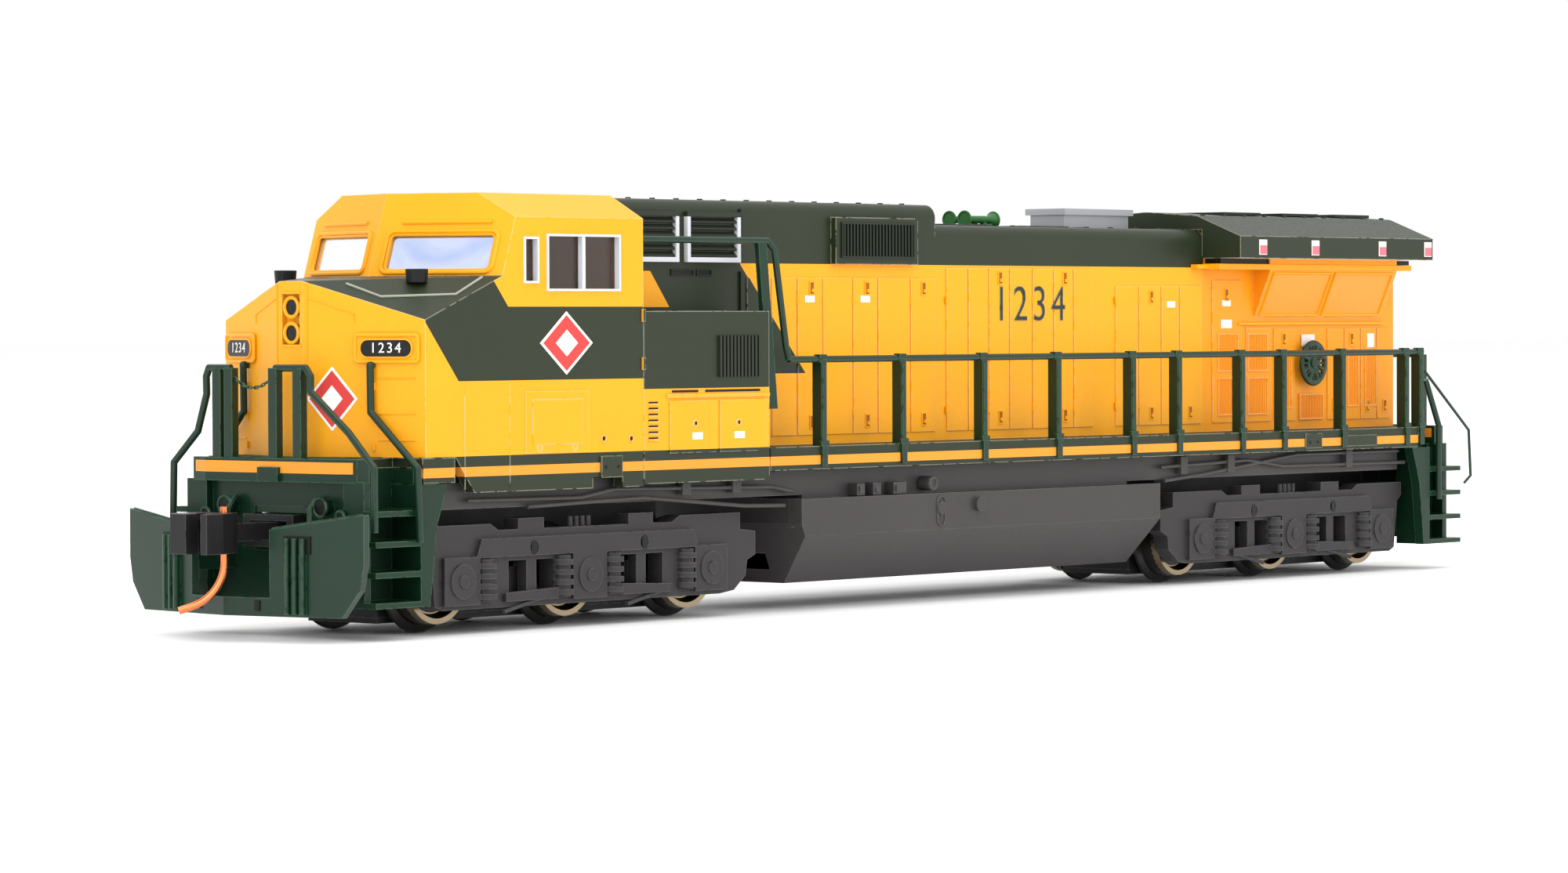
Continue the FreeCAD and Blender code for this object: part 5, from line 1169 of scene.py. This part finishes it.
def makeRoofFittings(settings):
    mesh = bmesh.new()
    for row in settings["boltRows"]:
        (x, end), y, z = row["x"], row["y"], row["z"]
        while x < end:
            addPair(mesh, around(x, 0.16), y - 0.16, y + 0.16, (z - 0.12, min(z + 0.09, settings["boltTop"])))
            x += row["pitch"]
    for plate in settings["plates"]:
        addBlock(mesh, *plate)
    for kind, half in (("seams", 0.07), ("wingPlates", 2.6)):
        for x in settings[kind]["x"]:
            addBlock(mesh, around(x, half), settings[kind]["y"], settings[kind]["z"])
    finishPiece(mesh, "roofFittings", "trimGreen", bevel=0.04)


makeRoofFittings(roofFittings)

hoodSlots = {
    "cabBack": [(-38.4, -35.7), (-31.6, -29.3), (-28.8, -27.3)],
    "height": (24.75, 25.05),
    "pillars": [(-24.0, 26.0, 29.6), (-24.0, 18.0, 25.0)],
    "wall": 5.78,
}


def makeHoodSlots(settings):
    mesh, rims = bmesh.new(), bmesh.new()
    wall, height = settings["wall"], settings["height"]
    for span in settings["cabBack"]:
        addFramePair(rims, span, wall, wall + 0.12, height, 0.1)
        addPair(mesh, span, wall, wall + 0.04, height)
    for x, z0, z1 in settings["pillars"]:
        addPair(rims, around(x, 0.12), wall, wall + 0.2, (z0, z1))
    # near-black painted shade inside the slots
    finishPiece(mesh, "hoodSlots", "blackAndShade")
    finishPiece(rims, "hoodSlotRims", "trimGreen", bevel=0.02)


makeHoodSlots(hoodSlots)
print("roof and hood fittings done")

# pilot fittings: hose sockets, hoses, chain and platform treads

pilotFittings = {
    "sockets": [(-4.6, 8.9, 0.62), (4.6, 8.9, 0.62), (-6.5, 8.3, 0.4), (6.5, 8.3, 0.4)],
    "chain": {"start": (-65.7, 4.25, 17.9), "end": (-65.7, -0.05, 17.9), "sag": 0.95, "links": 13},
    "hose": [(-65.6, 3.9, 9.6), (-66.3, 3.9, 8.8), (-66.5, 4.1, 7.2), (-66.3, 4.4, 5.8)],
    "tread": {"x": (-65.6, -61.4), "y": (-6.6, 6.6), "z": (12.18, 12.27), "pitch": 0.42},
}


def makePilotFittings(settings):
    rings, holes = bmesh.new(), bmesh.new()
    for flip in (-1, 1):
        for y, z, size in settings["sockets"]:
            addRing(rings, (flip * 66.0, y, z), (1, 0, 0), size, 0.13)
            addBar(holes, (flip * 65.9, y, z), (flip * 66.04, y, z), size * 0.9, 16)
        for side in (-1, 1):
            addTube(rings, [(flip * x, side * y, z) for x, y, z in settings["hose"]], 0.2)
    chain, tread = settings["chain"], settings["tread"]
    start, end = Vector(chain["start"]), Vector(chain["end"])
    previous = start
    for i in range(1, chain["links"] + 1):
        share = i / chain["links"]
        spot = start.lerp(end, share) - Vector((0, 0, chain["sag"] * 4 * share * (1 - share)))
        turn = Vector((0.09, 0, 0)) if i % 2 else Vector((0, 0, 0.09))
        link = [previous - turn, spot - turn, spot + turn, previous + turn]
        addTube(rings, link, 0.055, closed=True, sides=6)
        previous = spot
    x, last = tread["x"]
    while x < last:
        for flip in (-1, 1):
            addBlock(rings, tuple(sorted((flip * x, flip * (x + 0.12)))), tread["y"], tread["z"])
        x += tread["pitch"]
    finishPiece(rings, "pilotFittings", "railGreen")
    finishPiece(holes, "socketShadows", "blackAndShade")


makePilotFittings(pilotFittings)

# tank and underframe fittings

underframe = {
    "gauge": {"x": -5.0, "z": (5.9, 8.1)},
    "boxes": [(-14.7, -13.8), (-12.8, -11.9), (-10.4, -8.9)],
    "pipes": [[(-56.0, 9.2), (-44.5, 9.1), (-41.0, 9.6), (-24.0, 9.3), (-21.5, 8.9)],
              [(-50.0, 8.6), (-38.0, 8.9), (-27.0, 8.0), (-22.5, 7.9)],
              [(24.5, 8.5), (30.0, 8.9), (43.0, 10.2), (58.0, 10.2)],
              [(24.0, 9.6), (36.0, 9.9), (41.0, 9.3), (59.0, 9.2)]],
    "depth": 8.7,
    "cap": {"x": -6.0, "z": 9.1},
    "straps": {"x": (-34.0, -28.5, 26.5, 33.0, 50.0), "z": (9.0, 10.4)},
    "drains": {"x": (-20.6, 22.3), "z": (6.2, 8.3)},
}


def makeUnderframe(settings):
    mesh = bmesh.new()
    gauge, cap, straps, drains = (settings[part] for part in ("gauge", "cap", "straps", "drains"))
    outline = roundedOutline(around(gauge["x"], 0.45), gauge["z"], 0.42)
    low, high = gauge["z"]
    for side in (-1, 1):
        addTube(mesh, [(x, side * 9.42, z) for x, z in outline], 0.1, closed=True)
        addBar(mesh, (gauge["x"], side * 9.35, low + 0.3), (gauge["x"], side * 9.35, high - 0.3), 0.12)
        addBar(mesh, (cap["x"], side * 8.4, cap["z"]), (cap["x"], side * 9.4, cap["z"]), 0.55, 20)
        addRing(mesh, (cap["x"], side * 9.42, cap["z"]), (0, 1, 0), 0.42, 0.14)
        for line in settings["pipes"]:
            addTube(mesh, [(x, side * settings["depth"], z) for x, z in line], 0.16)
        for x in drains["x"]:
            addBar(mesh, (x, side * 8.2, drains["z"][0]), (x, side * 8.2, drains["z"][1]), 0.75, 18)
    for x0, x1 in settings["boxes"]:
        addPair(mesh, (x0, x1), 8.3, 9.2, (8.4, 9.3))
        addPair(mesh, (x0 + 0.2, x1 - 0.2), 9.1, 9.32, (8.6, 9.1))
    for x in straps["x"]:
        addPair(mesh, (x, x + 0.9), 8.3, 8.95, straps["z"])
    finishPiece(mesh, "underframeFittings", "tankBlack", bevel=0.04)


makeUnderframe(underframe)

truckFittings = {
    "centres": {"front": -43.17, "rear": 43.17},
    "holes": [(-5.75, 5.75), (5.75, 5.75)],
    "caps": {"x": (-12.935, 0.0, 12.935), "z": 3.65, "bolts": 6, "reach": 0.55},
    "links": {"x": (-8.6, 4.1), "length": 4.2, "z": (1.4, 2.3)},
    "pins": {"x": -1.1, "pitch": 0.62, "count": 4, "z": (6.9, 7.75)},
}


def makeTruckFittings(settings):
    caps, links, pins = settings["caps"], settings["links"], settings["pins"]
    for end, centre in settings["centres"].items():
        darks, mesh = bmesh.new(), bmesh.new()
        flip = -1 if end == "rear" else 1
        for side in (-1, 1):
            for x, z in settings["holes"]:
                outline = roundedOutline(around(centre + x, 0.3), around(z, 0.5), 0.28)
                addPlate(darks, [(a, side * 8.33, b) for a, b in outline], (0, side * 0.045, 0))
            for x in caps["x"]:
                for i in range(caps["bolts"]):
                    angle = 2 * math.pi * (i + 0.5) / caps["bolts"]
                    across = centre + x + caps["reach"] * math.cos(angle)
                    up = caps["z"] + caps["reach"] * math.sin(angle)
                    addBar(mesh, (across, side * 8.3, up), (across, side * 8.42, up), 0.09, 8)
                addRing(mesh, (centre + x, side * 8.34, caps["z"]), (0, 1, 0), 0.78, 0.09)
            for start in links["x"]:
                ends = zip((start, start + links["length"]), links["z"])
                addTube(mesh, [(centre + flip * x, side * 8.1, z) for x, z in ends], 0.16)
            for i in range(pins["count"]):
                x = centre + flip * (pins["x"] + i * pins["pitch"])
                foot, top = pins["z"]
                addBar(mesh, (x, side * 7.4, foot), (x, side * 7.4, top), 0.24, 10, 0.2)
        # near-black painted shade in the sideframe holes
        finishPiece(darks, end + "FrameHoleShade", "blackAndShade", end + "_truck")
        finishPiece(mesh, end + "FrameBolts", "truckGrey", end + "_truck")


makeTruckFittings(truckFittings)

railCaps = {
    "posts": (-19.27, -9.97, -0.10, 9.22, 18.95, 25.12, 33.81, 39.73, 48.32, 57.80, 60.0),
    "shapes": [(0.42, 9.2, 9.8, (18.3, 18.92)), (0.18, 9.78, 9.9, (12.6, 18.1)),
               (0.45, 9.7, 9.98, (12.15, 12.6))],  # half width, near, far and heights
}


def makeRailCaps(settings):
    mesh = bmesh.new()
    for x in settings["posts"]:
        for half, near, far, heights in settings["shapes"]:
            addPair(mesh, around(x, half), near, far, heights)
    finishPiece(mesh, "railFittings", "railGreen", bevel=0.06)


makeRailCaps(railCaps)
print("pilot, tank, truck and rail fittings done")

# plow: ribs, painted shade in the cut-outs behind them and the edge along its top

plow = {
    "apex": -70.6,
    "sweep": 2.0 / 11.3,
    "openings": {"span": (4.95, 7.1), "heights": (5.95, 7.15)},
    "slot": {"span": (2.6, 3.0), "heights": (2.1, 2.8)},
    "ribs": {"first": 5.375, "pitch": 0.62, "z": (1.95, 7.0)},
    "edge": [(3.8, 7.58), (7.5, 8.12), (11.0, 8.6)],
}


def onPlow(y, z, lift=0.0):
    return Vector((plow["apex"] + plow["sweep"] * abs(y) - lift, y, z))


def makePlow(settings):
    darks, edges = bmesh.new(), bmesh.new()
    ribs = settings["ribs"]
    for side in (-1, 1):
        for opening in (settings["openings"], settings["slot"]):
            (y0, y1), (z0, z1) = sideSpan(side, *opening["span"]), opening["heights"]
            addPlate(darks, [onPlow(y, z) for y, z in ((y0, z0), (y1, z0), (y1, z1), (y0, z1))], (-0.1, 0, 0))
        for i in range(3):
            y = side * (ribs["first"] + ribs["pitch"] * i)
            addTube(edges, [onPlow(y, z, 0.3) for z in ribs["z"]], 0.16)
        addTube(edges, [onPlow(side * y, z, -0.25) for y, z in settings["edge"]], 0.12)
    # near-black painted shade in the plow cut-outs
    finishPiece(darks, "plowOpeningShade", "blackAndShade")
    finishPiece(edges, "plowEdges", "railGreen")


makePlow(plow)

# brake wheel web

brakeWheel = {"middle": (48.6, -6.55, 17.7), "hub": 0.85, "rim": 1.6, "spokes": 8}


def makeBrakeWheel(settings):
    mesh = bmesh.new()
    middle = Vector(settings["middle"])
    back = Vector((0, 0.09, 0))
    addBar(mesh, middle - back, middle + back, settings["hub"], 28)
    addBar(mesh, middle - back * 2.4, middle + back, 0.42, 20, 0.3)
    addRing(mesh, middle, (0, 1, 0), settings["rim"], 0.19, 36)
    for i in range(settings["spokes"]):
        angle = 2 * math.pi * (i + 0.5) / settings["spokes"]
        spoke = Vector((math.cos(angle), 0, math.sin(angle)))
        addBar(mesh, middle + spoke * settings["hub"] * 0.9, middle + spoke * settings["rim"], 0.2, 10)
    finishPiece(mesh, "brakeWheelWeb", "railGreen")


makeBrakeWheel(brakeWheel)

# horns with flared bells, two forward and one back

hornSet = {
    "bar": 11.0, "height": 29.3, "throat": 0.28, "bell": 0.62,
    "horns": [(-1.0, 8.6), (0.75, 8.9), (-0.1, 13.4)],  # place across and where each mouth ends
    "post": 28.75,
    "mount": ((-1.6, 1.4), (28.68, 28.95)),
}


def makeHorns(settings):
    mesh = bmesh.new()
    bar, height, bell = settings["bar"], settings["height"], settings["bell"]
    throat = settings["throat"]
    for y, mouth in settings["horns"]:
        reach = mouth - bar
        foot, neck, end = ((bar + reach * share, y, height) for share in (-0.1, 0.72, 1))
        addBar(mesh, foot, neck, 0.3, 16, throat)
        addBar(mesh, neck, end, throat, 20, bell)
        addRing(mesh, end, (1, 0, 0), bell, 0.09)
        addBlock(mesh, around(bar, 0.2), around(y, 0.2), (settings["post"], height))
    addBlock(mesh, around(bar, 0.4), *settings["mount"])
    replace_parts(finishPiece(mesh, "hornBells", "hornGreen", bevel=0.03), "horns")


makeHorns(hornSet)

# coupler mouth fillers and the plates that close the ends of the sill

endPlates = {
    "mouth": [(8.45, 9.0), (5.8, 6.15)], "reach": (64.55, 65.1), "half": 2.6,
    "sill": [((-61.42, -61.3), 6.95, 8.9, (10.47, 11.5)), ((59.62, 59.72), 6.95, 8.9, (10.47, 11.5))],
}


def makeEndPlates(settings):
    mesh = bmesh.new()
    for flip in (-1, 1):
        span = tuple(sorted(flip * x for x in settings["reach"]))
        for heights in settings["mouth"]:
            addBlock(mesh, span, around(0, settings["half"]), heights)
    for plate in settings["sill"]:
        addPair(mesh, *plate)
    finishPiece(mesh, "endPlates", "railGreen", bevel=0.03)


makeEndPlates(endPlates)
print("plow, brake wheel and end plates done")
